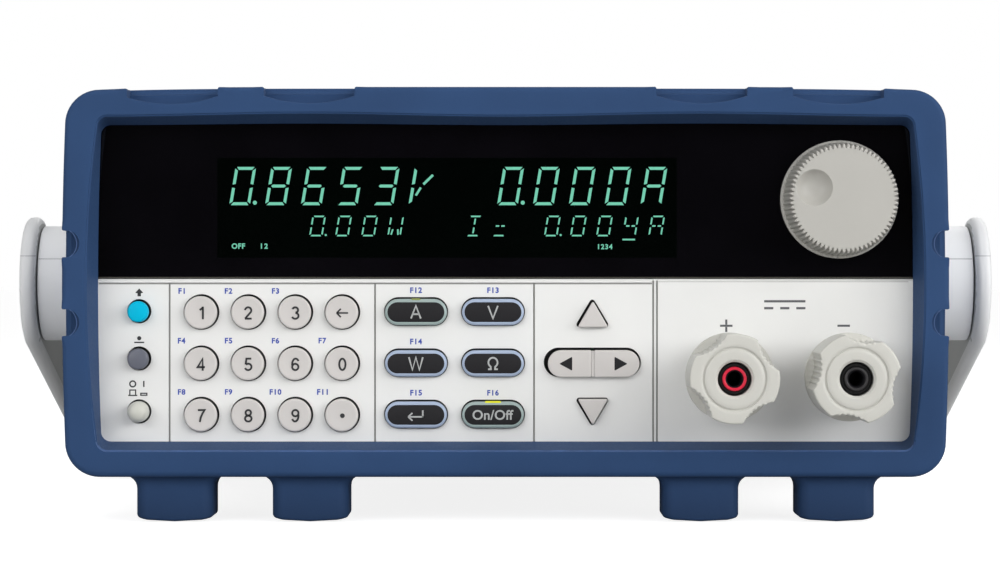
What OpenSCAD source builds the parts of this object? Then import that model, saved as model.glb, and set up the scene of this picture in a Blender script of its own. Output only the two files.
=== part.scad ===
// Bench dc electronic load in a half-rack case with rubber bumpers and a bail handle.
// Millimetres. X to the right, Y to the back, Z up. The origin is under the middle of the object.
// Depths are drawn from the front plane of the bumper and moved to the origin at the end.

/* [Case] */
// Width of the sheet-metal case
case_w = 214.5; // [205:0.5:230]
// Height of the sheet-metal case
case_h = 88.2; // [86:0.1:96]
// Depth from the front panel face to the rear wall
case_d = 440; // [420:1:500]
// Sheet thickness
sheet_t = 1.2; // [0.8:0.1:2]
// Bend radius of the case edges
case_r = 3; // [2:0.5:5]
// Height of the case underside above the table
case_lift = 17.9; // [17:0.1:24]
// Height of the tray flanges inside the cover
tray_flange_h = 12; // [8:1:16]
// Gap between sheet parts that slide into one another
sheet_gap = 0.3; // [0.2:0.05:0.5]
// Intake slots in each side of the cover
vent_count = 12; // [4:1:16]
// Height of an intake slot
vent_h = 26; // [10:1:36]
// Width of an intake slot
vent_w = 3.2; // [2:0.1:4]
// Pitch of the intake slots
vent_pitch = 7; // [6:0.5:10]
// Depth of the first intake slot
vent_y = 110; // [95:1:160]

/* [Bumpers] */
// Rubber beyond the case sides
bumper_side_t = 6.9; // [6:0.1:9]
// Rubber above and below the case
bumper_top_t = 6.1; // [5.6:0.1:8]
// Reach of the rubber ahead of the panel face
bumper_lip = 9; // [7:0.5:12]
// Depth of the whole bumper
bumper_d = 46; // [42:1:54]
// Corner radius of the bumper seen from the front
bumper_r = 9; // [7:0.5:12]
// Outward bow of the bumper sides
bumper_bow = 0.8; // [0:0.1:1.5]
// Rise of the bumper top between the corners
bumper_crown = 0.7; // [0:0.1:1.2]
// Rounding of the bumper front edge
bumper_edge = 1.5; // [0.8:0.1:2.5]
// Clearance between rubber and case
bumper_gap = 0.15; // [0.1:0.05:0.3]
// Width of the opening at the panel face, near its corners
opening_w = 211.4; // [204:0.2:212]
// Height of the opening at the panel face
opening_h = 82.7; // [80:0.1:84]
// Flare of the opening towards the front, top and bottom
opening_flare = 1.9; // [1:0.1:2.4]
// Bow of the opening sides at the front plane
scoop_front = 2.8; // [0:0.1:3.2]
// Bow of the opening sides at the panel face
scoop_back = 0.8; // [0:0.1:0.9]
// Waves in the upper edge of the opening
opening_wave = 0.8; // [0:0.1:1.2]
// Corner radius of the opening
opening_r = 2.6; // [2:0.1:4]

/* [Feet and notches] */
// Width of a foot
foot_w = 19.5; // [16:0.5:22]
// Distance of the foot front from the bumper front plane
foot_y = 5; // [3:0.5:10]
// Depth of a foot
foot_d = 22; // [18:1:40]
// Vertical edge radius of a foot
foot_r = 3; // [2:0.5:6]
// Rise of the rounded foot underside towards its sides
foot_crown = 1; // [0.6:0.1:2]
// Width of the flat strip the foot stands on
foot_flat = 4; // [3:0.5:8]
// Fillet between foot and bumper
foot_fillet = 2.3; // [1:0.1:3.5]
// Centre distance of the inner feet from the middle
foot_inner_x = 50.8; // [46:0.2:56]
// Centre distance of the outer feet from the middle
foot_outer_x = 86.2; // [80:0.2:88]
// Play on each side of a foot in a stacking notch
notch_play = 2; // [1:0.1:3]
// Depth of a stacking notch at its middle
notch_depth = 4.3; // [3:0.1:4.8]
// Sag of the notch floor
notch_sag = 2; // [1:0.1:2.2]
// How far a notch runs back
notch_reach = 7.5; // [5:0.5:10]
// Radius of the round side notches
side_notch_r = 3.45; // [2.5:0.05:4]
// Depth of the side notches into the rubber
side_notch_depth = 4.5; // [3.6:0.1:5]
// Height of the side notches above and below the middle
side_notch_z = 10.2; // [8:0.1:14]

/* [Front panel] */
// Thickness of the panel
panel_t = 4; // [3.6:0.1:5]
// Depth of the panel skirt
panel_skirt_d = 24; // [20:1:30]
// Thickness of the panel skirt
panel_wall = 2.5; // [2:0.1:3]
// Height of the white half above the middle
white_top_z = 1.1; // [0:0.1:3]
// Thickness of the display window
window_t = 1.5; // [1:0.1:2]
// Distance of the window behind the white half
window_step = 1; // [0.6:0.1:1.5]
// Edge of the panel above the window
window_edge = 1.2; // [0.8:0.1:1.6]
// Width of the lines pressed into the white half
groove_w = 0.5; // [0.3:0.05:0.8]
// Depth of the pressed lines
groove_depth = 0.45; // [0.2:0.05:0.8]
// Line between the power column and the keypad
groove_left_x = -87.8; // [-90:0.1:-86.8]
// Line between keypad and mode keys
groove_mode_x = -34.1; // [-35:0.1:-33.4]
// Line between mode keys and arrow keys
groove_arrow_x = 7.45; // [7:0.1:8.5]
// First line of the double line beside the input field
groove_input_x = 38.6; // [37.5:0.1:40]
// Space between the double lines
groove_input_step = 1; // [0.7:0.1:1.4]

/* [Display] */
// Middle of the display from the middle of the object
display_x = -15.3; // [-18:0.1:-12]
// Height of the display above the middle
display_z = 19.75; // [19:0.1:21]
// Visible width of the display
display_w = 120.2; // [110:0.2:124]
// Visible height of the display
display_h = 26.1; // [22:0.1:28]
// Border of the display module round the visible field
display_border = 4; // [3:0.1:5]
// Space between the window panel and the display module
display_space = 0.8; // [0.5:0.1:0.95]

/* [Round keys] */
// Diameter of a round key
key_d = 8.5; // [7.5:0.1:9.2]
// Gap round a round key or button in its hole
round_gap = 0.42; // [0.2:0.01:0.5]
// Gap round a long or three-cornered key in its hole
key_gap = 0.24; // [0.2:0.01:0.4]
// Reach of a key ahead of the panel
key_reach = 2; // [1.2:0.1:3]
// Chamfer of a key face
key_edge = 0.4; // [0.2:0.05:0.8]
// Column pitch of the keypad
key_pitch_x = 12.27; // [11.8:0.01:12.6]
// Row pitch of the keypad
key_pitch_z = 13.4; // [12:0.1:13.6]
// First keypad column
key_first_x = -79.46; // [-80:0.01:-78.5]
// First keypad row
key_first_z = -7.5; // [-8:0.1:-7]
// Rim that holds a key behind the panel
key_rim = 0.8; // [0.5:0.1:1]
// Thickness of that rim
key_rim_t = 1.2; // [0.8:0.1:1.5]
// Space between rim and panel
key_rim_gap = 0.25; // [0.2:0.01:0.4]
// Radius of the stem behind a key
key_stem_r = 1.6; // [1.2:0.1:2]
// Travel of a key
key_travel = 0.8; // [0.4:0.1:1]

/* [Left column] */
// Middle of the left button column
column_x = -95.74; // [-97:0.1:-95]
// Height of the shift button
shift_z = -7.3; // [-8:0.1:-6]
// Height of the local button
local_z = -19.65; // [-21:0.1:-18]
// Height of the power button
power_z = -33.5; // [-35:0.1:-32]
// Diameter of a small button
button_d = 5.5; // [5:0.1:6]
// Reach of the small buttons
button_reach = 3; // [2:0.1:4]
// Reach of the power button
power_reach = 5.6; // [4.8:0.1:7]
// Travel of the power button
power_travel = 4; // [2.5:0.1:4.5]
// Dome height of the power button
power_dome = 1; // [0.5:0.1:1.5]
// Radius of the push rod
push_rod_r = 1.5; // [1:0.1:2]
// Length of the push rod
push_rod_len = 40; // [30:1:60]

/* [Mode and arrow keys] */
// Length of a mode key
mode_w = 16.25; // [15:0.05:17]
// Height of a mode key
mode_h = 7.1; // [6:0.05:7.6]
// First mode key column
mode_first_x = -23.37; // [-24:0.01:-23]
// Column pitch of the mode keys
mode_pitch_x = 20.1; // [19.5:0.1:20.4]
// Middle of the arrow keys
arrow_x = 22.7; // [22:0.1:23.4]
// Middle row of the arrow keys
arrow_z = -20.65; // [-21.2:0.05:-20]
// Width of an up or down key
triangle_w = 7.8; // [6.5:0.1:8.4]
// Height of an up or down key
triangle_h = 6.7; // [6:0.1:7.2]
// Distance of the up and down keys from the middle row
triangle_step = 12.8; // [12:0.1:13.2]
// Corner radius of the up and down keys
triangle_r = 0.5; // [0.3:0.1:0.8]
// Whole length of the left and right keys
rocker_w = 24.9; // [22:0.1:26]
// Height of the left and right keys
rocker_h = 7.2; // [6.5:0.1:7.6]
// Space between the left and right keys
rocker_split = 0.6; // [0.4:0.05:0.8]

/* [Knob] */
// Middle of the knob
knob_x = 87.2; // [85:0.1:87.8]
// Height of the knob above the middle
knob_z = 21.9; // [20:0.1:22.5]
// Diameter of the knob skirt
knob_d = 30.8; // [28:0.1:33]
// Diameter over the teeth at the front
knob_front_d = 27.5; // [25:0.1:27.6]
// Diameter of the knob face
knob_face_d = 26.1; // [23:0.1:26.4]
// Height of the knob
knob_h = 13.5; // [11:0.1:16]
// Thickness of the knob skirt
knob_skirt_t = 1.4; // [1:0.1:2]
// Teeth round the knob
knob_teeth = 72; // [48:1:72]
// Depth of the teeth
tooth_depth = 0.7; // [0.4:0.05:0.9]
// Space between knob and window
knob_gap = 0.6; // [0.4:0.1:0.9]
// Diameter of the finger dimple
dimple_d = 9.4; // [7:0.1:10]
// Depth of the finger dimple
dimple_depth = 1.5; // [0.8:0.1:2]
// Distance of the dimple from the knob axis
dimple_off = 8.1; // [7.6:0.1:8.2]
// Angle of the dimple
dimple_angle = 160; // [0:1:359]
// Diameter of the encoder shaft
shaft_d = 6; // [5:0.1:6.4]
// Running clearance of the shaft in its bush
shaft_gap = 0.05; // [0.02:0.01:0.1]
// Outer diameter of the encoder bush
bush_d = 9; // [8:0.1:10]
// Side of the encoder body
encoder_w = 13; // [12:0.1:15]

/* [Terminals] */
// Middle of the positive terminal
plus_x = 57.7; // [56:0.1:58.4]
// Middle of the negative terminal
minus_x = 88.4; // [87.6:0.1:89.6]
// Height of the terminals from the middle
terminal_z = -24.1; // [-25:0.1:-23]
// Reach of the terminals ahead of the panel
terminal_reach = 33.5; // [31:0.1:38]
// Diameter of a terminal nut
nut_d = 22.8; // [20:0.1:24]
// Length of a terminal nut
nut_len = 22; // [19:0.1:23]
// Length of the round part of the nut near the panel
nut_flange_len = 3; // [2:0.1:5]
// Radius of the finger scallops
scallop_r = 9.9; // [8:0.1:12]
// Depth of the finger scallops
scallop_depth = 2.2; // [1.2:0.1:2.6]
// Radius of the ribs in the scallops
rib_r = 0.45; // [0.3:0.05:0.6]
// Ribs in one scallop
rib_count = 3; // [1:1:4]
// Radius of the ring line on the nut face
face_ring_r = 7.9; // [7:0.1:8.4]
// Radius of the hole through the nut
nut_hole_r = 4.3; // [4.25:0.01:4.6]
// Chamfer of that hole
nut_hole_edge = 0.6; // [0.3:0.1:1]
// Turn of the positive nut
plus_turn = 35; // [0:1:89]
// Turn of the negative nut
minus_turn = 80; // [0:1:89]
// Thickness of the clamp washer
washer_t = 1.8; // [1.2:0.1:2.5]
// Diameter of the clamp washer
washer_d = 17; // [14:0.1:19]
// Space between clamped parts
clamp_gap = 0.1; // [0.05:0.01:0.2]
// Diameter of the insulator ahead of the panel
insulator_d = 19; // [17:0.1:20]
// Radius of the insulator where it passes the panel
spigot_r = 6.5; // [6:0.1:7.5]
// Radius of the brass post
post_r = 4; // [3.8:0.05:4]
// Radius of the plug socket
socket_r = 2; // [1.95:0.01:2.05]
// Depth of the plug socket in the brass
socket_len = 16; // [12:1:20]
// Outer radius of the socket sleeve
sleeve_out_r = 3.07; // [2.9:0.01:3.2]
// Setback of the sleeve behind the nut face
sleeve_set = 1.2; // [0.5:0.1:2]
// Setback of the brass behind the nut face
post_set = 5; // [4:0.1:7]
// Clearance of the post in the insulator
post_gap = 0.05; // [0.03:0.01:0.1]

/* [Handle] */
// Depth of the handle axis behind the bumper front plane
handle_y = 68; // [66:0.5:80]
// Diameter of the side hubs
hub_d = 31.8; // [28:0.2:34]
// Length of the side hubs
hub_len = 21.2; // [18:0.1:24]
// Radius of the pivot pin
pin_r = 6; // [5:0.1:8]
// Running clearance of the pivot pin
pin_gap = 0.06; // [0.03:0.01:0.1]
// Space between hub and handle arm
arm_gap = 0.35; // [0.3:0.05:0.5]
// Thickness of a handle arm
arm_t = 4.4; // [4:0.1:6]
// Diameter of the round arm ends
disc_d = 36.8; // [34:0.2:42]
// Width of an arm at the grip end
arm_w = 20; // [14:0.5:26]
// Distance from the axis to the middle of the grip
handle_len = 152; // [145:1:180]
// Width of the grip
grip_w = 24; // [18:0.5:26]
// Thickness of the grip
grip_t = 12.5; // [10:0.1:12.6]
// Outer corner radius of the handle
handle_r = 16; // [12:0.5:24]

/* [Fans] */
// Side of a fan frame
fan_w = 80; // [76:1:80]
// Depth of a fan frame
fan_d = 25; // [20:1:32]
// Middle of the left fan
fan_left_x = -23.5; // [-24:0.5:-23]
// Middle of the right fan
fan_right_x = 63.5; // [60:0.5:64]
// Diameter of the air way through a fan frame
fan_bore_d = 76; // [70:0.5:76]
// Diameter of a rotor hub
rotor_hub_d = 34; // [28:1:38]
// Gap between blades and frame
blade_gap = 1; // [0.6:0.1:1.5]
// Blades of a rotor
blade_count = 7; // [5:1:9]
// Angle a blade sweeps about the axis
blade_sweep = 40; // [25:1:46]
// Thickness of a blade
blade_t = 1.8; // [1.2:0.1:2.4]
// Radius of the fan shaft
fan_shaft_r = 1.5; // [1:0.1:2]
// Ring slots of a fan grille
grille_rings = 6; // [4:1:6]
// Width of a ring slot
grille_slot = 3.4; // [2.5:0.1:3.6]
// Width of the spokes across the ring slots
grille_spoke = 4; // [3:0.1:6]

/* [Heatsinks] */
// Space between the heatsinks and the fans
sink_gap = 10.8; // [6:0.1:16]
// Length of the heatsinks
sink_len = 262; // [220:1:290]
// Height of the heatsinks
sink_h = 80; // [70:1:82]
// Length of the fins
fin_len = 66; // [56:1:68]
// Thickness of the heatsink base
sink_base_t = 6; // [5:0.5:8]
// Fins of a heatsink
fin_count = 13; // [8:1:15]
// Thickness of a fin
fin_t = 1.8; // [1.5:0.1:2.2]
// Space between the heatsink bases
sink_space = 14; // [14:0.5:18]
// Transistors on each heatsink
transistor_count = 6; // [4:1:7]
// Thickness of a transistor
transistor_t = 5; // [4.5:0.1:5.3]

/* [Boards] */
// Board thickness
board_t = 1.6; // [1.2:0.1:1.6]
// Space between a pressed key stem and its switch
switch_gap = 0.1; // [0.05:0.01:0.2]
// Height of a key switch with its plunger
switch_h = 4.1; // [3.8:0.1:5]
// Height of the studs under the control board
stud_h = 6; // [4:0.5:8]

/* [Rear side] */
// Middle of the connector column
rear_x = -84; // [-86:0.5:-83]
// Height of the mains inlet from the middle
inlet_z = -15.5; // [-17:0.5:-14]
// Height of the serial socket from the middle
serial_z = 17.5; // [17:0.5:19]
// Height of the sense terminal block from the middle
sense_z = 32.5; // [32:0.5:33]
// Width of the inlet flange
inlet_flange_w = 28; // [26:0.5:30]
// Height of the inlet flange
inlet_flange_h = 48; // [44:0.5:50]
// Width of the inlet well
inlet_well_w = 16.6; // [16:0.1:17]
// Height of the inlet well
inlet_well_h = 24.6; // [24:0.1:25]
// Depth of the inlet well
inlet_well_d = 17; // [15:0.5:18]

/* [Hidden] */
$fn = 64;
eps = 0.05;
arc_steps = 6;
side_steps = 8;
top_steps = 24;
edge_steps = 4;
blade_steps = 3;

// Case size that the layouts are drawn for, and how far this case is from it
layout_w = 214.5;
layout_h = 88.2;
layout_d = 440;
kx = case_w / layout_w;
kz = case_h / layout_h;
ky = case_d / layout_d;
km = min(kx, kz);

// Heights and depths that follow from the sizes above
mid_z = case_lift + case_h / 2;
face_y = bumper_lip;
window_y = face_y + window_step;
recess_y = window_y + window_t;
back_y = face_y + panel_t;
skirt_y = face_y + panel_skirt_d;
rear_y = face_y + case_d;
end_y = rear_y + bumper_lip;
tip_y = face_y - terminal_reach;
mid_y = (tip_y + end_y) / 2;
inner_w = case_w - 2 * (sheet_t + sheet_gap);
inner_top = case_h / 2 - sheet_t - sheet_gap;
floor_z = -case_h / 2 + sheet_t;

// Key stack behind the panel
rim_y = back_y + key_rim_gap;
stem_y = rim_y + key_rim_t + 2.5;
plunger_y = stem_y + key_travel + switch_gap;
board_y = plunger_y + switch_h;

// Bumper outline
bumper_hw = case_w / 2 + bumper_side_t;
bumper_hh = case_h / 2 + bumper_top_t;
foot_h = case_lift - bumper_top_t;
notch_w = foot_w + 2 * notch_play;
notch_arc_r = (notch_w * notch_w / 4 + notch_sag * notch_sag) / (2 * notch_sag);

// Mode keys share the keypad rows
mode_rows = [key_first_z + 0.1, key_first_z + 0.1 - key_pitch_z, key_first_z + 0.1 - 2 * key_pitch_z];

// Terminal stack
nut_back_y = tip_y + nut_len;
washer_y = nut_back_y + clamp_gap;
insulator_y = washer_y + washer_t + clamp_gap;
sleeve_y = tip_y + sleeve_set;
post_y = tip_y + post_set;
sleeve_seat_y = post_y + 4;
spigot_y = back_y + 3;
lug_y = spigot_y + 3;
lug_t = 3;

// Handle
hub_x = case_w / 2;
arm_in_x = hub_x + hub_len + arm_gap;
arm_out_x = arm_in_x + arm_t;
tuck_drop = (case_h + case_lift) / 2;
tuck_angle = asin(tuck_drop / handle_len);

// Fans and heatsinks
fan_y = rear_y - sheet_t - fan_d;
fan_side = km * fan_w;
fan_bore = km * fan_bore_d;
rotor_hub = km * rotor_hub_d;
blade_tip_r = fan_bore / 2 - blade_gap - 1.5;
sink_mid_x = kx * (fan_left_x + fan_right_x) / 2;
sink_run = ky * sink_len;
sink_y = fan_y - sink_gap - sink_run;
sink_rise = kz * sink_h;
fin_reach = kx * fin_len;
base_left_x = sink_mid_x - sink_space / 2 - sink_base_t;
base_right_x = sink_mid_x + sink_space / 2;
sink_z = floor_z;

// Sizes of standard connectors and places of studs and posts
serial_w = 18;
serial_h = 9.6;
sense_w = 25;
sense_h = 9;
board_stud_x = kx * [-82, 8];
board_stud_y = [sink_y - 84, sink_y - 12];
front_board_x = kx * 103;
front_board_z = kz * 40.5;
transformer_x = kx * -83.5;
transformer_y = ky * 200;
transformer_w = kx * 35;
transformer_d = 62;
transformer_h = kz * 52;
panel_posts = [[-98, 38], [-90, 5], [62, 38], [62, 5], [99, 5], [33, -38.3], [-101, -39]];

DIGIT_KEYS = [
    ["key_1", 0, 0], ["key_2", 1, 0], ["key_3", 2, 0], ["key_esc", 3, 0],
    ["key_4", 0, 1], ["key_5", 1, 1], ["key_6", 2, 1], ["key_0", 3, 1],
    ["key_7", 0, 2], ["key_8", 1, 2], ["key_9", 2, 2], ["key_point", 3, 2]];
MODE_KEYS = [
    ["mode_key_current", 0, 0], ["mode_key_voltage", 1, 0],
    ["mode_key_power", 0, 1], ["mode_key_resistance", 1, 1],
    ["enter_key", 0, 2], ["load_key", 1, 2]];
SMALL_BUTTONS = [["shift_button", shift_z], ["local_button", local_z]];
TRIANGLES = [["arrow_up_key", 1], ["arrow_down_key", -1]];
ROCKERS = [["arrow_left_key", -1], ["arrow_right_key", 1]];
TERMINALS = [["positive", plus_x, plus_turn], ["negative", minus_x, minus_turn]];
FANS = [["fan_rotor_left", fan_left_x], ["fan_rotor_right", fan_right_x]];
FIXED = [
    "front_bumper", "rear_bumper", "chassis_tray", "top_cover", "front_panel", "display_window",
    "display_module", "front_board", "key_switches", "rotary_encoder", "encoder_shaft", "rotary_knob",
    "terminal_insulators", "terminal_posts", "bus_bars", "heatsinks", "power_transistors",
    "circuit_boards", "mains_transformer", "power_switch", "power_button", "power_push_rod",
    "ac_inlet", "rear_connectors", "fan_frames", "handle_hubs", "carry_handle"];

// Colours
rubber_blue = [0.16, 0.25, 0.44];
case_grey = [0.78, 0.78, 0.75];
panel_white = [0.9, 0.9, 0.88];
key_grey = [0.84, 0.82, 0.8];
black_gloss = [0.02, 0.02, 0.03];
board_green = [0.1, 0.32, 0.2];
brass = [0.75, 0.6, 0.3];
steel = [0.65, 0.66, 0.68];
plastic_black = [0.06, 0.06, 0.07];

// Moves a piece drawn from the bumper front plane to the origin of the object
module placed() {
    translate([0, -mid_y, mid_z])
        children();
}

// Extrudes a front view from depth y0 to depth y1
module deep(y0, y1) {
    translate([0, y1, 0])
        rotate([90, 0, 0])
            linear_extrude(y1 - y0)
                children();
}

// Extrudes a side view, drawn as depth and height, from x0 to x1
module wide(x0, x1) {
    translate([x0, 0, 0])
        rotate([90, 0, 90])
            linear_extrude(x1 - x0)
                children();
}

// Turns a profile of radius and depth about a depth axis
module turned() {
    rotate([-90, 0, 0])
        rotate_extrude()
            children();
}

// Round bar along the depth
module rod(r, y0, y1) {
    translate([0, y0, 0])
        rotate([-90, 0, 0])
            cylinder(r = r, h = y1 - y0);
}

// Block given by its ranges
module block(x, y, z) {
    translate([x[0], y[0], z[0]])
        cube([x[1] - x[0], y[1] - y[0], z[1] - z[0]]);
}

// Places a child by the layout, which follows the size of the case
module at(x, z) {
    translate([x * kx, 0, z * kz])
        children();
}

// Moves a child by a distance that belongs to its own piece
module off(x, z) {
    translate([x, 0, z])
        children();
}

module round_rect(w, h, r) {
    square([w - 2 * r, h], center = true);
    square([w, h - 2 * r], center = true);
    for (sx = [-1, 1], sz = [-1, 1])
        translate([sx * (w / 2 - r), sz * (h / 2 - r)])
            circle(r);
}

module stadium(w, h) {
    square([w - h, h], center = true);
    for (s = [-1, 1])
        translate([s * (w - h) / 2, 0])
            circle(h / 2);
}

// One rounded corner as points, counter-clockwise from angle a0
function corner(cx, cz, r, a0) = [
    for (i = [0 : arc_steps])
        let (a = a0 + 90 * i / arc_steps)
        [cx + r * cos(a), cz + r * sin(a)]];

// Height of the top line along t from -1 to 1: one broad rise, or two waves
function crown(t) = 1 - pow(t, 6);
function waves(t) = (1 - cos(360 * (t + 1))) / 2;

// Rounded outline with bowed sides and a shaped top
function outline(hw, hh, r, bow, rise, wavy) = concat(
    [for (i = [1 : side_steps - 1])
        let (t = 2 * i / side_steps - 1)
        [hw + bow * (1 - t * t), t * (hh - r)]],
    corner(hw - r, hh - r, r, 0),
    [for (i = [1 : top_steps - 1])
        let (t = 1 - 2 * i / top_steps)
        [t * (hw - r), hh + rise * (wavy ? waves(t) : crown(t))]],
    corner(r - hw, hh - r, r, 90),
    [for (i = [1 : side_steps - 1])
        let (t = 1 - 2 * i / side_steps)
        [-hw - bow * (1 - t * t), t * (hh - r)]],
    corner(r - hw, r - hh, r, 180),
    corner(hw - r, r - hh, r, 270));

// Skin through outlines at growing depths
module loft(rings, depths) {
    n = len(rings[0]);
    last = len(rings) - 1;
    polyhedron(
        points = [for (j = [0 : last]) for (p = rings[j]) [p[0], depths[j], p[1]]],
        faces = concat(
            [[for (i = [n - 1 : -1 : 0]) i]],
            [for (j = [0 : last - 1]) for (i = [0 : n - 1])
                [j * n + i, j * n + (i + 1) % n, (j + 1) * n + (i + 1) % n]],
            [for (j = [0 : last - 1]) for (i = [0 : n - 1])
                [j * n + i, (j + 1) * n + (i + 1) % n, (j + 1) * n + i]],
            [[for (i = [0 : n - 1]) last * n + i]]));
}

function bumper_ring(inset) =
    outline(bumper_hw - inset, bumper_hh - inset, bumper_r - inset, bumper_bow, bumper_crown, false);

// Outer skin of a bumper with rounded front and back edges
module bumper_skin() {
    front = [for (i = [0 : edge_steps]) 90 * (1 - i / edge_steps)];
    loft(
        concat(
            [for (a = front) bumper_ring(bumper_edge * (1 - cos(a)))],
            [bumper_ring(0), bumper_ring(bumper_edge / 2)]),
        concat(
            [for (a = front) bumper_edge * (1 - sin(a))],
            [bumper_d - bumper_edge / 2, bumper_d]));
}

// Flared opening of a bumper with scooped sides and a wavy upper edge
module bumper_opening() {
    hw = kx * opening_w / 2;
    hh = kz * opening_h / 2;
    step = opening_flare / bumper_lip * eps;
    loft(
        [outline(hw, hh + opening_flare + step, opening_r, scoop_front, opening_wave, true),
         outline(hw, hh - step, opening_r, scoop_back, opening_wave / 2, true)],
        [-eps, bumper_lip + eps]);
}

// Foot with a rounded underside, rounded vertical edges and fillets at the top
module foot() {
    low = -bumper_hh - foot_h;
    arc_half = foot_w / 2 - foot_flat / 2;
    arc_r = (arc_half * arc_half + foot_crown * foot_crown) / (2 * foot_crown);
    top = -bumper_hh + 1.2;
    intersection() {
        deep(foot_y, foot_y + foot_d) {
            difference() {
                translate([-foot_w / 2, low])
                    square([foot_w, top - low]);
                for (s = [-1, 1])
                    difference() {
                        translate([s * foot_w / 2 - arc_half - eps * (1 + s), low - eps])
                            square([2 * arc_half, foot_crown + eps]);
                        translate([s * foot_flat / 2, low + arc_r])
                            circle(arc_r, $fn = 200);
                        translate([-foot_flat / 2, low - eps])
                            square([foot_flat, foot_crown + 2 * eps]);
                        translate([s > 0 ? -foot_w : 0, low - eps])
                            square([foot_w, foot_crown + 2 * eps]);
                    }
            }
        }
        translate([0, foot_y + foot_d / 2, low - 1])
            linear_extrude(foot_h + 4)
                round_rect(foot_w, foot_d, foot_r);
    }
    for (s = [-1, 1])
        deep(foot_y + foot_r, foot_y + foot_d - foot_r)
            difference() {
                translate([s > 0 ? foot_w / 2 - eps : -foot_w / 2 - foot_fillet, -bumper_hh - foot_fillet])
                    square([foot_fillet + eps, foot_fillet + 1]);
                translate([s * (foot_w / 2 + foot_fillet), -bumper_hh - foot_fillet])
                    circle(foot_fillet);
            }
}

// Stacking notch in the top front edge
module stack_notch() {
    top = bumper_hh + bumper_crown;
    deep(-1, notch_reach)
        intersection() {
            translate([-notch_w / 2, top - notch_depth - 1])
                square([notch_w, notch_depth + 4]);
            translate([0, top - notch_depth + notch_arc_r])
                circle(notch_arc_r, $fn = 120);
        }
}

// Round-ended notch in the side front edge, on the right
module side_notch() {
    side = bumper_hw + bumper_bow;
    deep(-1, notch_reach) {
        translate([side - side_notch_depth + side_notch_r, 0])
            circle(side_notch_r);
        translate([side - side_notch_depth + side_notch_r, -side_notch_r])
            square([side_notch_depth, 2 * side_notch_r]);
    }
}

// Rubber bumper seen from the front, its front plane at depth 0
module bumper() {
    difference() {
        union() {
            bumper_skin();
            for (s = [-1, 1], x = [foot_inner_x, foot_outer_x])
                at(s * x, 0)
                    foot();
        }
        bumper_opening();
        deep(bumper_lip, bumper_d + 1)
            round_rect(case_w + 2 * bumper_gap, case_h + 2 * bumper_gap, case_r + bumper_gap);
        for (s = [-1, 1], x = [foot_inner_x, foot_outer_x])
            at(s * x, 0)
                stack_notch();
        for (s = [-1, 1])
            at(0, s * side_notch_z) {
                side_notch();
                mirror([1, 0, 0])
                    side_notch();
            }
    }
}

module front_bumper() {
    color(rubber_blue)
        placed()
            bumper();
}

module rear_bumper() {
    color(rubber_blue)
        placed()
            translate([0, end_y, 0])
                mirror([0, 1, 0])
                    bumper();
}

// Ring slots of one fan grille, as a front view
module grille() {
    pitch = (fan_bore / 2 - rotor_hub / 4) / grille_rings;
    difference() {
        for (i = [1 : grille_rings])
            difference() {
                circle(rotor_hub / 4 + i * pitch - pitch / 2 + grille_slot / 2);
                circle(rotor_hub / 4 + i * pitch - pitch / 2 - grille_slot / 2);
            }
        for (a = [45, 135])
            rotate(a)
                square([2 * fan_side, grille_spoke], center = true);
    }
}

// Folded tray: floor, two low flanges and the rear wall, with studs for the control board
module chassis_tray() {
    color(case_grey)
        placed() {
            difference() {
                union() {
                    deep(skirt_y + sheet_gap, rear_y)
                        intersection() {
                            round_rect(case_w, case_h, case_r);
                            translate([-case_w / 2, -case_h / 2])
                                square([case_w, sheet_t]);
                        }
                    for (s = [-1, 1])
                        block(
                            [s > 0 ? inner_w / 2 - sheet_t : -inner_w / 2,
                             s > 0 ? inner_w / 2 : sheet_t - inner_w / 2],
                            [skirt_y + sheet_gap, rear_y],
                            [floor_z - eps, floor_z + tray_flange_h]);
                    block([-inner_w / 2, inner_w / 2], [rear_y - sheet_t, rear_y], [floor_z - eps, inner_top]);
                    for (x = board_stud_x, y = board_stud_y)
                        translate([x, y, floor_z - eps])
                            cylinder(r = 3, h = stud_h + eps);
                }
                deep(rear_y - sheet_t - 1, rear_y + 1) {
                    for (f = FANS)
                        translate([kx * f[1], 0])
                            grille();
                    translate([kx * rear_x, kz * inlet_z])
                        square([inlet_well_w + 5, inlet_well_h + 5], center = true);
                    translate([kx * rear_x, kz * serial_z])
                        square([serial_w + 0.6, serial_h + 0.6], center = true);
                    translate([kx * rear_x, kz * sense_z])
                        square([sense_w + 0.6, sense_h + 0.6], center = true);
                }
            }
        }
}

// Cover folded over the tray, with intake slots in both sides
module top_cover() {
    low = floor_z + sheet_gap;
    color(case_grey)
        placed()
            difference() {
                deep(skirt_y + sheet_gap, rear_y)
                    difference() {
                        intersection() {
                            round_rect(case_w, case_h, case_r);
                            translate([-case_w / 2, low])
                                square([case_w, case_h]);
                        }
                        round_rect(case_w - 2 * sheet_t, case_h - 2 * sheet_t, case_r - sheet_t);
                        translate([sheet_t - case_w / 2, -case_h])
                            square([case_w - 2 * sheet_t, case_h]);
                    }
                wide(-case_w, case_w)
                    for (i = [0 : vent_count - 1], z = [-vent_h / 2 - 3, vent_h / 2 + 3])
                        translate([vent_y + i * vent_pitch, z])
                            rotate(90)
                                stadium(vent_h, vent_w);
            }
}

// Places a drawing at every round key, mode key or small button
module at_digits() {
    for (k = DIGIT_KEYS)
        at(key_first_x + k[1] * key_pitch_x, key_first_z - k[2] * key_pitch_z)
            children();
}

module at_modes() {
    for (k = MODE_KEYS)
        at(mode_first_x + k[1] * mode_pitch_x, mode_rows[k[2]])
            children();
}

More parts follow.
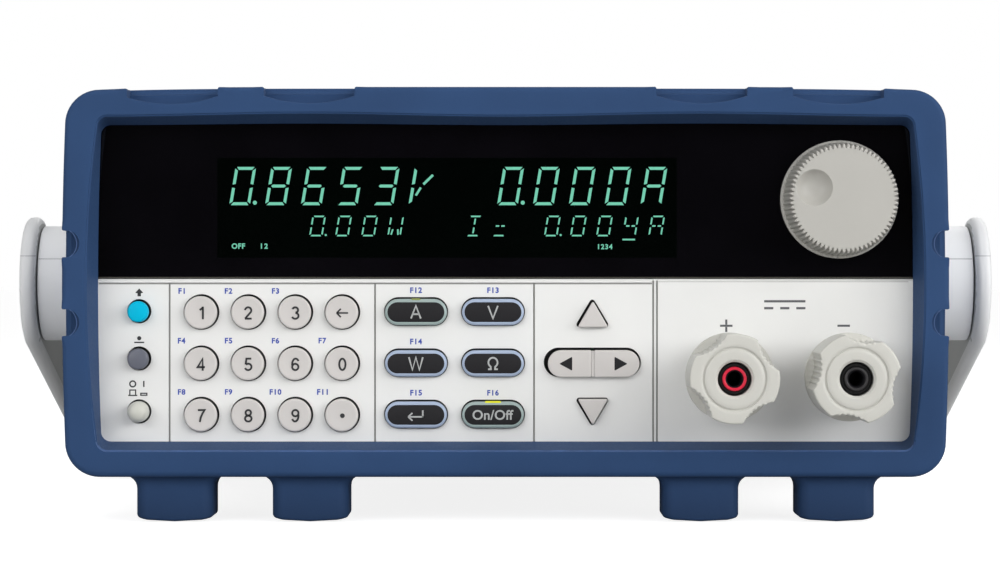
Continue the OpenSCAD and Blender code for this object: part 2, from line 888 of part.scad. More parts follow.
// Up or down triangle, its middle on the origin, grown by more
module triangle(more, dir) {
    w = triangle_w / 2 - triangle_r;
    h = triangle_h / 2 - triangle_r;
    hull()
        for (p = [[-w, -h], [w, -h], [0, h]])
            translate([p[0], dir * p[1]])
                circle(triangle_r + more, $fn = 24);
}

// Moulded panel: keypad half, carrier of the window, skirt into the case and posts for the front board
module front_panel() {
    lines_z = white_top_z - 1.15;
    color(panel_white)
        placed()
            difference() {
                union() {
                    deep(face_y, back_y)
                        round_rect(case_w, case_h, case_r);
                    deep(back_y - eps, skirt_y)
                        difference() {
                            round_rect(case_w, case_h, case_r);
                            round_rect(case_w - 2 * panel_wall, case_h - 2 * panel_wall, case_r);
                        }
                    for (p = panel_posts)
                        at(p[0], p[1])
                            rod(2.2, back_y - eps, board_y);
                }
                block([-case_w, case_w], [face_y - 1, recess_y], [white_top_z, case_h / 2 - window_edge]);
                translate([0, face_y, white_top_z])
                    rotate([45, 0, 0])
                        cube([3 * case_w, 0.7, 0.7], center = true);
                deep(recess_y - 1, back_y + 1)
                    translate([kx * display_x, kz * display_z])
                        square([kx * display_w + 2, kz * display_h + 2], center = true);
                at(knob_x, knob_z)
                    rod(bush_d / 2 + 0.1, face_y, back_y + 1);
                at_digits()
                    rod(key_d / 2 + round_gap, face_y - 1, back_y + 1);
                for (z = [shift_z, local_z, power_z])
                    at(column_x, z)
                        rod(button_d / 2 + round_gap, face_y - 1, back_y + 1);
                at_modes()
                    deep(face_y - 1, back_y + 1)
                        stadium(mode_w + 2 * key_gap, mode_h + 2 * key_gap);
                at(arrow_x, arrow_z) {
                    deep(face_y - 1, back_y + 1)
                        stadium(rocker_w + 2 * key_gap, rocker_h + 2 * key_gap);
                    for (t = TRIANGLES)
                        at(0, t[1] * triangle_step)
                            deep(face_y - 1, back_y + 1)
                                triangle(key_gap, t[1]);
                }
                for (t = TERMINALS)
                    at(t[1], terminal_z)
                        rod(spigot_r + 0.1, face_y - 1, back_y + 1);
                for (x = kx * [groove_left_x, groove_mode_x, groove_arrow_x])
                    block([x - groove_w / 2, x + groove_w / 2], [face_y - 1, face_y + groove_depth],
                          [-case_h, lines_z]);
                for (x = kx * [groove_input_x, groove_input_x + groove_input_step])
                    block([x - groove_w / 2, x + groove_w / 2], [face_y - 1, face_y + groove_depth],
                          [-case_h, white_top_z + 1]);
                block([-case_w, kx * groove_input_x], [face_y - 1, face_y + groove_depth],
                      [lines_z - groove_w / 2, lines_z + groove_w / 2]);
            }
}

// Gloss plate over the upper half, with the knob bush passing through
module display_window() {
    color(black_gloss)
        placed()
            difference() {
                block([sheet_gap - case_w / 2, case_w / 2 - sheet_gap], [window_y, recess_y],
                      [white_top_z + 0.1, case_h / 2 - window_edge - 0.1]);
                at(knob_x, knob_z)
                    rod(bush_d / 2 + 0.1, window_y - 1, recess_y + 1);
            }
}

// Fluorescent display: glass front on a carrier that stands on the front board
module display_module() {
    color(plastic_black)
        placed() {
            deep(back_y + display_space, board_y)
                translate([kx * display_x, kz * display_z])
                    square([kx * display_w + 2 * display_border, kz * display_h + 2 * display_border],
                           center = true);
            deep(recess_y + 0.4, back_y + display_space + eps)
                translate([kx * display_x, kz * display_z])
                    square([kx * display_w, kz * display_h], center = true);
        }
}

// Board behind the panel, cut away round the terminals
module front_board() {
    color(board_green)
        placed()
            difference() {
                union() {
                    block([-front_board_x, front_board_x], [board_y, board_y + board_t], [0, front_board_z]);
                    block([-front_board_x, kx * groove_input_x - 2.1], [board_y, board_y + board_t],
                          [-front_board_z, 0.5]);
                }
                at(column_x, power_z)
                    rod(push_rod_r + 0.7, board_y - 1, board_y + board_t + 1);
            }
}

// One key switch with its plunger
module key_switch() {
    rod(1.7, plunger_y, board_y - switch_h + 1);
    block([-3, 3], [board_y - switch_h + 0.8, board_y], [-3, 3]);
}

module key_switches() {
    color(plastic_black)
        placed() {
            at_digits()
                key_switch();
            at_modes()
                key_switch();
            for (b = SMALL_BUTTONS)
                at(column_x, b[1])
                    key_switch();
            at(arrow_x, arrow_z) {
                for (t = TRIANGLES)
                    at(0, t[1] * triangle_step)
                        key_switch();
                for (r = ROCKERS)
                    off(r[1] * rocker_w / 4, 0)
                        key_switch();
            }
        }
}

// Encoder on the front board, its bush through the panel and the window
module rotary_encoder() {
    color(steel)
        placed()
            at(knob_x, knob_z)
                difference() {
                    union() {
                        rod(bush_d / 2, window_y - 0.2, board_y - 6);
                        block([-encoder_w / 2, encoder_w / 2], [board_y - 6.5, board_y],
                              [-encoder_w / 2, encoder_w / 2]);
                    }
                    rod(shaft_d / 2 + shaft_gap, window_y - 1, board_y - 1);
                }
}

module encoder_shaft() {
    color(steel)
        placed()
            at(knob_x, knob_z)
                rod(shaft_d / 2, window_y - knob_gap - knob_h + 4, board_y - 1.4);
}

// Tapered, toothed knob with a skirt and a finger dimple
module rotary_knob() {
    front = window_y - knob_gap - knob_h;
    low = window_y - knob_gap;
    slot = 360 / knob_teeth;
    rim = knob_d / 2 - 0.5;
    dimple_r = (dimple_d * dimple_d / 4 + dimple_depth * dimple_depth) / (2 * dimple_depth);
    color(key_grey)
        placed()
            at(knob_x, knob_z)
                difference() {
                    union() {
                        rod(knob_d / 2, low - knob_skirt_t, low);
                        intersection() {
                            deep(front, low - knob_skirt_t + eps)
                                polygon([for (i = [0 : knob_teeth - 1], q = [0, 1])
                                    let (r = q == 0 ? rim : rim - tooth_depth * 2)
                                    [r * cos((i + q / 2) * slot), r * sin((i + q / 2) * slot)]]);
                            turned()
                                polygon([
                                    [0, front], [knob_face_d / 2, front],
                                    [knob_front_d / 2, front + 0.7],
                                    [rim, low - knob_skirt_t + eps], [0, low - knob_skirt_t + eps]]);
                        }
                        rod(knob_face_d / 2 - 0.1, front, low - 1);
                    }
                    rod(shaft_d / 2 + shaft_gap, front + 3.8, low + 1);
                    rod(bush_d / 2 + 0.8, low - 1.2, low + 1);
                    off(dimple_off * cos(dimple_angle), dimple_off * sin(dimple_angle))
                        translate([0, front + dimple_depth - dimple_r, 0])
                            sphere(dimple_r, $fn = 96);
                }
}

// Round key: chamfered cap, rim behind the panel and stem towards its switch
module round_key(d, reach, edge) {
    turned()
        polygon([
            [0, face_y - reach], [d / 2 - edge, face_y - reach], [d / 2, face_y - reach + edge],
            [d / 2, rim_y], [d / 2 + key_rim, rim_y], [d / 2 + key_rim, rim_y + key_rim_t],
            [key_stem_r, rim_y + key_rim_t], [key_stem_r, stem_y], [0, stem_y]]);
}

module digit_key(col, row) {
    color(key_grey)
        placed()
            at(key_first_x + col * key_pitch_x, key_first_z - row * key_pitch_z)
                round_key(key_d, key_reach, key_edge);
}

module small_button(z) {
    color(key_grey)
        placed()
            at(column_x, z)
                round_key(button_d, button_reach, key_edge);
}

// Domed push button that drives the power switch through a rod
module power_button() {
    dome_r = (button_d * button_d / 4 + power_dome * power_dome) / (2 * power_dome);
    front = face_y - power_reach;
    color(key_grey)
        placed()
            at(column_x, power_z) {
                intersection() {
                    rod(button_d / 2, front, rim_y + eps);
                    translate([0, front + dome_r, 0])
                        sphere(dome_r, $fn = 96);
                }
                rod(button_d / 2, front + power_dome, rim_y + eps);
                rod(button_d / 2 + key_rim, rim_y, rim_y + key_rim_t);
            }
}

module power_push_rod() {
    color(plastic_black)
        placed()
            at(column_x, power_z)
                rod(push_rod_r, rim_y + key_rim_t, rim_y + key_rim_t + push_rod_len);
}

// Push switch on the tray floor, guiding the end of the rod
module power_switch() {
    front = rim_y + key_rim_t + push_rod_len - 3;
    color(plastic_black)
        placed()
            at(column_x, power_z)
                difference() {
                    block([-7, 5.5], [front, front + 30], [floor_z - kz * power_z, 9]);
                    rod(push_rod_r + 0.3, front - 1, front + power_travel + 6);
                }
}

// Long key with rounded ends: chamfered cap, rim and stem
module mode_key(col, row) {
    front = face_y - key_reach;
    half = (mode_w - mode_h) / 2;
    color(key_grey)
        placed()
            at(mode_first_x + col * mode_pitch_x, mode_rows[row]) {
                for (s = [-1, 1])
                    off(s * half, 0)
                        turned()
                            polygon([
                                [0, front], [mode_h / 2 - key_edge, front], [mode_h / 2, front + key_edge],
                                [mode_h / 2, rim_y + eps], [0, rim_y + eps]]);
                wide(-half, half)
                    polygon([
                        [front, key_edge - mode_h / 2], [front + key_edge, -mode_h / 2],
                        [rim_y + eps, -mode_h / 2], [rim_y + eps, mode_h / 2],
                        [front + key_edge, mode_h / 2], [front, mode_h / 2 - key_edge]]);
                deep(rim_y, rim_y + key_rim_t)
                    stadium(mode_w + 2 * key_rim, mode_h + 2 * key_rim);
                rod(key_stem_r, rim_y, stem_y);
            }
}

module triangle_key(dir) {
    color(key_grey)
        placed()
            at(arrow_x, arrow_z + dir * triangle_step) {
                deep(face_y - key_reach, rim_y + eps)
                    triangle(0, dir);
                block([-triangle_w / 2 - key_rim, triangle_w / 2 + key_rim], [rim_y, rim_y + key_rim_t],
                      [-triangle_h / 2 - key_rim, triangle_h / 2 + key_rim]);
                rod(key_stem_r, rim_y, stem_y);
            }
}

// Half of the long left and right key
module rocker_key(dir) {
    front = face_y - key_reach;
    end = (rocker_w - rocker_h) / 2;
    color(key_grey)
        placed()
            at(arrow_x, arrow_z)
                mirror([dir > 0 ? 0 : 1, 0, 0])
                    difference() {
                        union() {
                            off(end, 0)
                                turned()
                                    polygon([
                                        [0, front], [rocker_h / 2 - key_edge, front],
                                        [rocker_h / 2, front + key_edge],
                                        [rocker_h / 2, rim_y + eps], [0, rim_y + eps]]);
                            wide(0, end)
                                polygon([
                                    [front, key_edge - rocker_h / 2], [front + key_edge, -rocker_h / 2],
                                    [rim_y + eps, -rocker_h / 2], [rim_y + eps, rocker_h / 2],
                                    [front + key_edge, rocker_h / 2], [front, rocker_h / 2 - key_edge]]);
                            deep(rim_y, rim_y + key_rim_t)
                                stadium(rocker_w + 2 * key_rim, rocker_h + 2 * key_rim);
                            off(rocker_w / 4, 0)
                                rod(key_stem_r, rim_y, stem_y);
                        }
                        block([-case_w, rocker_split / 2], [front - 1, stem_y + 1], [-rocker_w, rocker_w]);
                    }
}

// Insulators that carry the posts through the panel
module terminal_insulators() {
    color(panel_white)
        placed()
            for (t = TERMINALS)
                at(t[1], terminal_z)
                    difference() {
                        union() {
                            rod(insulator_d / 2, insulator_y, face_y);
                            rod(spigot_r, face_y - eps, spigot_y);
                        }
                        rod(post_r + post_gap, insulator_y - 1, spigot_y + 1);
                    }
}

// Brass posts with a plug socket in front and a shoulder behind the insulator
module terminal_posts() {
    color(brass)
        placed()
            for (t = TERMINALS)
                at(t[1], terminal_z)
                    difference() {
                        union() {
                            rod(post_r, post_y, lug_y + lug_t + 5);
                            rod(spigot_r, spigot_y, lug_y);
                        }
                        rod(sleeve_out_r + post_gap, post_y - 1, sleeve_seat_y);
                        rod(socket_r, post_y, sleeve_seat_y + socket_len);
                    }
}

module socket_sleeve(x) {
    color(plastic_black)
        placed()
            at(x, terminal_z)
                difference() {
                    rod(sleeve_out_r, sleeve_y, sleeve_seat_y);
                    rod(socket_r, sleeve_y - 1, sleeve_seat_y + 1);
                }
}

module terminal_washer(x) {
    color(steel)
        placed()
            at(x, terminal_z)
                difference() {
                    rod(washer_d / 2, washer_y, washer_y + washer_t);
                    rod(nut_hole_r, washer_y - 1, washer_y + washer_t + 1);
                }
}

// Lobed nut: four ribbed finger scallops ahead of a round flange
module terminal_nut(x, turn) {
    scallop_x = nut_d / 2 - scallop_depth + scallop_r;
    rib_step = 13;
    color(panel_white)
        placed()
            at(x, terminal_z)
                difference() {
                    union() {
                        difference() {
                            turned()
                                polygon([
                                    [0, tip_y], [nut_d / 2 - 1.2, tip_y], [nut_d / 2 - 0.35, tip_y + 0.35],
                                    [nut_d / 2, tip_y + 1.2], [nut_d / 2, nut_back_y - 0.6],
                                    [nut_d / 2 - 0.6, nut_back_y], [0, nut_back_y]]);
                            for (i = [0 : 3])
                                off(scallop_x * cos(turn + i * 90), scallop_x * sin(turn + i * 90))
                                    rod(scallop_r, tip_y - 1, nut_back_y - nut_flange_len);
                        }
                        for (i = [0 : 3], k = [0 : rib_count - 1]) {
                            a = turn + i * 90;
                            b = (k - (rib_count - 1) / 2) * rib_step;
                            off(scallop_x * cos(a) - scallop_r * cos(a + b),
                                scallop_x * sin(a) - scallop_r * sin(a + b))
                                rod(rib_r, tip_y + 1.2, nut_back_y - nut_flange_len + 0.5);
                        }
                    }
                    rod(nut_hole_r, tip_y - 1, nut_back_y + 1);
                    turned()
                        polygon([
                            [0, tip_y - 1], [nut_hole_r + nut_hole_edge + 1, tip_y - 1],
                            [nut_hole_r, tip_y + nut_hole_edge], [0, tip_y + nut_hole_edge]]);
                    difference() {
                        rod(face_ring_r, tip_y - 1, tip_y + 0.4);
                        rod(face_ring_r - 0.5, tip_y - 2, tip_y + 1);
                    }
                }
}

// Copper bars from the post shoulders back to the board between the heatsinks
module bus_bar(x, cross_y) {
    px = kx * x;
    hang = kz * terminal_z - 12;
    difference() {
        union() {
            block([px - 8, px + 8], [lug_y, lug_y + lug_t], [hang, kz * terminal_z + 8]);
            block([px - 8, px + 8], [lug_y, cross_y + 8], [hang, hang + lug_t]);
            block([sink_mid_x + board_t / 2 + 0.3, px], [cross_y, cross_y + 8], [hang, hang + lug_t]);
        }
        at(x, terminal_z)
            rod(post_r + post_gap, lug_y - 1, lug_y + lug_t + 1);
    }
}

module bus_bars() {
    color([0.72, 0.42, 0.25])
        placed() {
            bus_bar(plus_x, sink_y - 24);
            bus_bar(minus_x, sink_y - 12);
        }
}

// Finned extrusions, one in front of each fan, their bases facing each other
module heatsinks() {
    pitch = (sink_rise - fin_t) / (fin_count - 1);
    color(steel)
        placed()
            wide_sinks(pitch);
}

module wide_sinks(pitch) {
    deep(sink_y, sink_y + sink_run)
        for (side = [0, 1]) {
            translate([side == 0 ? base_left_x : base_right_x, sink_z])
                square([sink_base_t, sink_rise]);
            for (i = [0 : fin_count - 1])
                translate([side == 0 ? base_left_x - fin_reach : base_right_x + sink_base_t - eps, sink_z + i * pitch])
                    square([fin_reach + eps, fin_t]);
        }
}

// Power transistors clamped to both bases
module power_transistors() {
    step = sink_run / transistor_count;
    color(plastic_black)
        placed()
            for (i = [0 : transistor_count - 1], side = [0, 1])
                block(
                    [side == 0 ? base_left_x + sink_base_t : base_right_x - transistor_t,
                     side == 0 ? base_left_x + sink_base_t + transistor_t : base_right_x],
                    [sink_y + (i + 0.5) * step - 8, sink_y + (i + 0.5) * step + 8],
                    [sink_z + 30, sink_z + 51]);
}

// Control board on the tray studs and power board between the heatsinks
module circuit_boards() {
    top = floor_z + stud_h;
    color(board_green)
        placed() {
            block([board_stud_x[0] - 6, board_stud_x[1] + 6], [board_stud_y[0] - 6, board_stud_y[1] + 6],
                  [top, top + board_t]);
            for (x = kx * [-60, -30, 0])
                block([x - 9, x + 9], [board_stud_y[0] + 26, board_stud_y[0] + 44],
                      [top + board_t - eps, top + board_t + 3]);
            for (x = kx * [-60, -40])
                translate([x, board_stud_y[1] - 8, top])
                    cylinder(r = 6, h = 22);
            block([sink_mid_x - board_t / 2, sink_mid_x + board_t / 2], [sink_y - 30, sink_y + sink_run - 6],
                  [floor_z, floor_z + sink_rise - 6]);
        }
}

// Frame transformer on the tray floor
module mains_transformer() {
    half_w = transformer_w / 2;
    color(steel)
        placed()
            translate([transformer_x, transformer_y, floor_z]) {
                block([-half_w, half_w], [0, transformer_d], [0, transformer_h]);
                block([-half_w - 2, half_w + 2], [12, transformer_d - 12], [9, transformer_h - 9]);
                block([7 - half_w, half_w - 7], [-10, transformer_d + 10], [0, 2]);
            }
}

// Mains inlet with three blades in its well
module ac_inlet() {
    back = rear_y + 3;
    color(plastic_black)
        placed()
            at(rear_x, inlet_z)
                difference() {
                    union() {
                        deep(rear_y, back)
                            round_rect(inlet_flange_w, inlet_flange_h, 3);
                        block([-inlet_well_w / 2 - 2.2, inlet_well_w / 2 + 2.2],
                              [back - inlet_well_d - 3, rear_y + eps],
                              [-inlet_well_h / 2 - 2.2, inlet_well_h / 2 + 2.2]);
                    }
                    difference() {
                        deep(back - inlet_well_d, back + 1)
                            polygon([
                                [-inlet_well_w / 2, -inlet_well_h / 2], [inlet_well_w / 2 - 5, -inlet_well_h / 2],
                                [inlet_well_w / 2, 5 - inlet_well_h / 2], [inlet_well_w / 2, inlet_well_h / 2 - 5],
                                [inlet_well_w / 2 - 5, inlet_well_h / 2], [-inlet_well_w / 2, inlet_well_h / 2]]);
                        for (p = [[-2, -7], [2, 0], [-2, 7]])
                            block([p[0] - 2, p[0] + 2], [back - inlet_well_d - 1, back - 3],
                                  [p[1] - 1, p[1] + 1]);
                    }
                }
}

// Serial socket and sense terminal block
module rear_connectors() {
    color(plastic_black)
        placed() {
            at(rear_x, serial_z) {
                deep(rear_y - 9, rear_y + 5)
                    round_rect(serial_w, serial_h, 2);
                deep(rear_y - 12, rear_y - sheet_t)
                    round_rect(serial_w + 13, serial_h + 3, 1);
            }
            at(rear_x, sense_z)
                difference() {
                    union() {
                        deep(rear_y - sheet_t - 0.1, rear_y + 5.5)
                            square([sense_w, sense_h], center = true);
                        deep(rear_y - 12, rear_y - sheet_t)
                            square([sense_w + 4, sense_h + 2], center = true);
                    }
                    for (i = [-2 : 2])
                        off(i * sense_w / 5, 0)
                            rod(1.3, rear_y - 2, rear_y + 6);
                }
        }
}

// Fan frames with a bearing boss on four struts, against the rear wall
module fan_frames() {
    color(plastic_black)
        placed()
            for (f = FANS)
                at(f[1], 0)
                    difference() {
                        union() {
                            difference() {
                                deep(fan_y, fan_y + fan_d)
                                    round_rect(fan_side, fan_side, 4);
                                rod(fan_bore / 2, fan_y - 1, fan_y + fan_d + 1);
                            }
                            rod(rotor_hub / 2, fan_y + fan_d - 5, fan_y + fan_d);
                            for (a = [45, 135])
                                rotate([0, a, 0])
                                    block([-fan_bore / 2 - 1, fan_bore / 2 + 1],
                                          [fan_y + fan_d - 4, fan_y + fan_d], [-1.5, 1.5]);
                        }
                        rod(fan_shaft_r + shaft_gap, fan_y + fan_d - 6, fan_y + fan_d - 1);
                    }
}

// Section of a blade at radius r, pitched more steeply near the hub
function blade_section(r, depth) =
    let (a = atan(depth / (blade_sweep * PI / 180 * r)), c = depth / sin(a))
    [for (p = [[-c / 2, -blade_t / 2], [c / 2, -blade_t / 2], [c / 2, blade_t / 2], [-c / 2, blade_t / 2]])
        [p[0] * cos(a) - p[1] * sin(a), p[0] * sin(a) + p[1] * cos(a)]];

// Blade lofted outwards through sections, its depth centred on the origin
module fan_blade(r0, r1, depth) {
    n = 4;
    radii = [for (j = [0 : blade_steps]) r0 + (r1 - r0) * j / blade_steps];
    polyhedron(
        points = [for (r = radii) for (p = blade_section(r, depth)) [r, p[1], p[0]]],
        faces = concat(
            [[3, 2, 1, 0]],
            [for (j = [0 : blade_steps - 1]) for (i = [0 : n - 1])
                [j * n + i, j * n + (i + 1) % n, (j + 1) * n + (i + 1) % n]],
            [for (j = [0 : blade_steps - 1]) for (i = [0 : n - 1])
                [j * n + i, (j + 1) * n + (i + 1) % n, (j + 1) * n + i]],
            [[for (i = [0 : n - 1]) blade_steps * n + i]]));
}

// Fan rotor: hub, shaft and pitched blades
module fan_rotor(x) {
    front = fan_y + 1.5;
    back = fan_y + fan_d - 6;
    color(plastic_black)
        placed()
            at(x, 0) {
                rod(rotor_hub / 2, front, back);
                rod(fan_shaft_r, back - eps, back + 4.5);
                for (i = [0 : blade_count - 1])
                    translate([0, (front + back) / 2, 0])
                        rotate([0, i * 360 / blade_count, 0])
                            fan_blade(rotor_hub / 2 - 1.5, blade_tip_r, back - front - 3);
            }
}

// Side hubs with the pivot pins of the handle
module handle_hubs() {
    color(key_grey)
        placed()
            for (s = [0, 1])
                mirror([s, 0, 0])
                    translate([0, handle_y, 0])
                        rotate([0, 90, 0]) {
                            translate([0, 0, hub_x])
                                cylinder(d = hub_d, h = hub_len);
                            translate([0, 0, hub_x])
                                cylinder(r = pin_r, h = arm_out_x - 1.2 - hub_x);
                        }
}

// Keeps the part of a side view that lies in the bail's U shape seen from above, from x0 to x1
module in_bail(x0, x1) {
    out_len = handle_len + grip_w / 2;
    in_len = handle_len - grip_w / 2;
    intersection() {
        wide(x0, x1)
            children();
        translate([0, 0, -disc_d])
            linear_extrude(2 * disc_d)
                difference() {
                    translate([0, (out_len - disc_d) / 2])
                        round_rect(2 * arm_out_x, out_len + disc_d, handle_r);
                    translate([0, in_len / 2 - disc_d])
                        round_rect(2 * arm_in_x, in_len + 2 * disc_d, handle_r - arm_t);
                }
    }
}

// Bail: two flat arms and a rounded grip, folded back under the case
module carry_handle() {
    neck_y = handle_len - grip_w / 2;
    lean = asin((disc_d - arm_w) / 2 / handle_len);
    root = disc_d / 2 - eps;
    neck = grip_t / 2 - eps;
    arm_x = arm_in_x - handle_r + arm_t;
    color(key_grey)
        placed()
            translate([0, handle_y, 0])
                rotate([-tuck_angle, 0, 0])
                    difference() {
                        union() {
                            in_bail(-arm_out_x, arm_out_x)
                                translate([handle_len, 0])
                                    stadium(grip_w, grip_t);
                            for (x = [-arm_out_x, arm_x]) {
                                in_bail(x, x + arm_out_x - arm_x)
                                    circle(d = disc_d);
                                in_bail(x, x + arm_out_x - arm_x)
                                    polygon([
                                        [root * sin(lean), root * cos(lean)], [neck_y - 16, arm_w / 2],
                                        [neck_y + 4, neck], [handle_len, neck], [handle_len, -neck], [neck_y + 4, -neck],
                                        [neck_y - 16, -arm_w / 2], [root * sin(lean), -root * cos(lean)]]);
                            }
                        }
                        rotate([0, 90, 0])
                            cylinder(r = pin_r + pin_gap, h = 3 * arm_out_x, center = true);
                    }
}

front_bumper();
rear_bumper();
chassis_tray();
top_cover();
front_panel();
display_window();
display_module();
front_board();
key_switches();
rotary_encoder();
encoder_shaft();
rotary_knob();
terminal_insulators();
terminal_posts();
bus_bars();
heatsinks();
power_transistors();
circuit_boards();
mains_transformer();
power_switch();
power_button();
power_push_rod();
ac_inlet();
rear_connectors();
fan_frames();
handle_hubs();
carry_handle();
for (k = DIGIT_KEYS)
    digit_key(k[1], k[2]);
for (k = MODE_KEYS)
    mode_key(k[1], k[2]);
for (k = SMALL_BUTTONS)
    small_button(k[1]);
for (k = TRIANGLES)
    triangle_key(k[1]);
for (k = ROCKERS)
    rocker_key(k[1]);
for (t = TERMINALS) {
    socket_sleeve(t[1]);
    terminal_washer(t[1]);
    terminal_nut(t[1], t[2]);
}
for (f = FANS)
    fan_rotor(f[1]);
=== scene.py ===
from math import asin, atan2, copysign, cos, hypot, pi, radians, sin, sqrt, tan

import bmesh
import bpy
from mathutils import Matrix, Vector


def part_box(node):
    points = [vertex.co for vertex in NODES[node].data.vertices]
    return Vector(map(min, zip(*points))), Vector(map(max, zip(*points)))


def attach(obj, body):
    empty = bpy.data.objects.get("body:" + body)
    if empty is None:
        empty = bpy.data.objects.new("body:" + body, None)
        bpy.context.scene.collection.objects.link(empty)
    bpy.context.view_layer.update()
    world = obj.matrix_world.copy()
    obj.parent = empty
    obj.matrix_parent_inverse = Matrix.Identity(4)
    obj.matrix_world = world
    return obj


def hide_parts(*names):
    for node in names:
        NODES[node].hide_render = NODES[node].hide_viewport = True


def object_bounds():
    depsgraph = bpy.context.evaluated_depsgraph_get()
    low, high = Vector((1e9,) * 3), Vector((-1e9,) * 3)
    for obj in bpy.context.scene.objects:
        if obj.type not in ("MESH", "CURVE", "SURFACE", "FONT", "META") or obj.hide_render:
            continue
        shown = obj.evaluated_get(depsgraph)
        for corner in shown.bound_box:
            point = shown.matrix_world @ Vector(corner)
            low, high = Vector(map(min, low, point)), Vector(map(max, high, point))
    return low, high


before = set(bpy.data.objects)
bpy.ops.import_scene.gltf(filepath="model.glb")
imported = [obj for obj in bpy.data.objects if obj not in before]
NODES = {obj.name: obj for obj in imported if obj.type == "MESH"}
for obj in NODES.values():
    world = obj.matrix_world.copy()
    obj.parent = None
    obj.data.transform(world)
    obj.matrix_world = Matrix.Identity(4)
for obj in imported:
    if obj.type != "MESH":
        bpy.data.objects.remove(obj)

CAD_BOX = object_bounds()
SCENE = bpy.context.scene

# Sizes are millimetres: across from the middle, back from the bumper's front, up from the panel's middle
MM = 0.001
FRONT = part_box("front_bumper")[0].y
MID = (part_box("front_panel")[0].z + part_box("front_panel")[1].z) / 2


def spot(x, y, z):
    """A point of the scene from millimetres."""
    return Vector((x * MM, FRONT + y * MM, MID + z * MM))


def middle(node):
    """Middle of a node seen from the front: across, up."""
    lo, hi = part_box(node)
    return (lo.x + hi.x) / 2 / MM, ((lo.z + hi.z) / 2 - MID) / MM


def depths(node):
    """Front and back of a node."""
    lo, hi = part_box(node)
    return (lo.y - FRONT) / MM, (hi.y - FRONT) / MM


def heights(node):
    """Bottom and top of a node."""
    lo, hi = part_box(node)
    return (lo.z - MID) / MM, (hi.z - MID) / MM


def size(node):
    """Width and height of a node."""
    lo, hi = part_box(node)
    return (hi.x - lo.x) / MM, (hi.z - lo.z) / MM


FACE_Y = depths("front_panel")[0]
WINDOW_Y = depths("display_window")[0]
WINDOW_LOW = heights("display_window")[0]
SIDES = ((-1, "left"), (1, "right"))
INK = 0.03


# Mesh building

def full_turn(steps):
    """Angles once round."""
    return [2 * pi * k / steps for k in range(steps)]


def half_turn(steps):
    """Angles from a quarter turn below to a quarter turn above."""
    return [pi * (k / steps - 0.5) for k in range(steps + 1)]


def edge_arc(radius, steps):
    """Inset and setback of points round an edge, from the side to the face."""
    for k in range(steps + 1):
        a = pi / 2 * k / steps
        yield radius * (1 - cos(a)), radius * (1 - sin(a))


def loft(bm, rings, loop=False):
    """Quads between rings of points, with capped ends; a ring of one point closes in a fan."""
    rows = [[bm.verts.new(p) for p in ring] for ring in rings]
    pairs = list(zip(rows, rows[1:])) + ([(rows[-1], rows[0])] if loop else [])
    for low, high in pairs:
        count = max(len(low), len(high))
        for i in range(count):
            j = (i + 1) % count
            if len(low) == 1:
                bm.faces.new((low[0], high[j], high[i]))
            elif len(high) == 1:
                bm.faces.new((low[i], low[j], high[0]))
            else:
                bm.faces.new((low[i], low[j], high[j], high[i]))
    for row in (rows[0], rows[-1]):
        if not loop and len(row) > 2:
            bm.faces.new(row)


def rounded(corners, steps=4, closed=False, least_turn=0.01):
    """A line through (a, b, radius) corners, each corner turned by an arc of its radius."""
    points = []
    count = len(corners)
    for i, (a, b, r) in enumerate(corners):
        p = Vector((a, b))
        ends = not closed and i in (0, count - 1)
        if ends or r == 0:
            points.append(p)
            continue
        back = (Vector(corners[i - 1][:2]) - p).normalized()
        on = (Vector(corners[(i + 1) % count][:2]) - p).normalized()
        turn = pi - back.angle(on)
        if turn < least_turn:
            points.append(p)
            continue
        hub = p + (back + on).normalized() * (r / cos(turn / 2))
        start = p + back * (r * tan(turn / 2)) - hub
        way = 1 if back.x * on.y - back.y * on.x < 0 else -1
        for k in range(steps + 1):
            points.append(hub + Matrix.Rotation(way * turn * k / steps, 2) @ start)
    return points


def inset(outline, gap, mitre=0.3):
    """A closed outline moved inwards by a gap."""
    points = []
    for i, p in enumerate(outline):
        a = (p - outline[i - 1]).normalized()
        b = (outline[(i + 1) % len(outline)] - p).normalized()
        inward = Vector((-(a.y + b.y), a.x + b.x)).normalized()
        points.append(p + inward * gap / max(mitre, inward.dot(Vector((-a.y, a.x)))))
    return points


def circle(x, z, r, steps=32):
    return [Vector((x + r * cos(a), z + r * sin(a))) for a in full_turn(steps)]


def stadium(x, z, w, h, steps=14):
    """A long outline with half-round ends."""
    half = (w - h) / 2
    right = [(x + half + h / 2 * cos(a), z + h / 2 * sin(a)) for a in half_turn(steps)]
    left = [(2 * x - a, 2 * z - b) for a, b in right]
    return [Vector(p) for p in right + left]


def bar(x0, z0, x1, z1, wide):
    """A straight stroke as a closed outline."""
    a, b = Vector((x0, z0)), Vector((x1, z1))
    side = (b - a).normalized() * wide / 2
    side = Vector((-side.y, side.x))
    return [a - side, b - side, b + side, a + side]


def at(outline, y):
    """The points of an outline at a depth."""
    return [spot(p.x, y, p.y) for p in outline]


def slab(bm, outline, y0, y1, edge=0.0, steps=4, stop=None):
    """A flat piece between two depths, its front edge rounded; its side may be parted at a stop."""
    rings = []
    if edge:
        rings = [(inset(outline, gap), y0 + back) for gap, back in list(edge_arc(edge, steps))[:0:-1]]
    rings += [(outline, y) for y in (y0 + edge, stop, y1) if y is not None]
    loft(bm, [at(ring, y) for ring, y in rings])


def lathe(bm, x, z, profile, steps=48, loop=False):
    """A turned piece about an axis from front to back; the profile is (radius, depth) points."""
    rings = [at(circle(x, z, r, steps), y) if r > 0 else [spot(x, y, z)] for r, y in profile]
    loft(bm, rings, loop)


def mark(bm, outline, y, proud=INK):
    """A printed shape on a surface at depth y."""
    slab(bm, outline, y - proud, y)


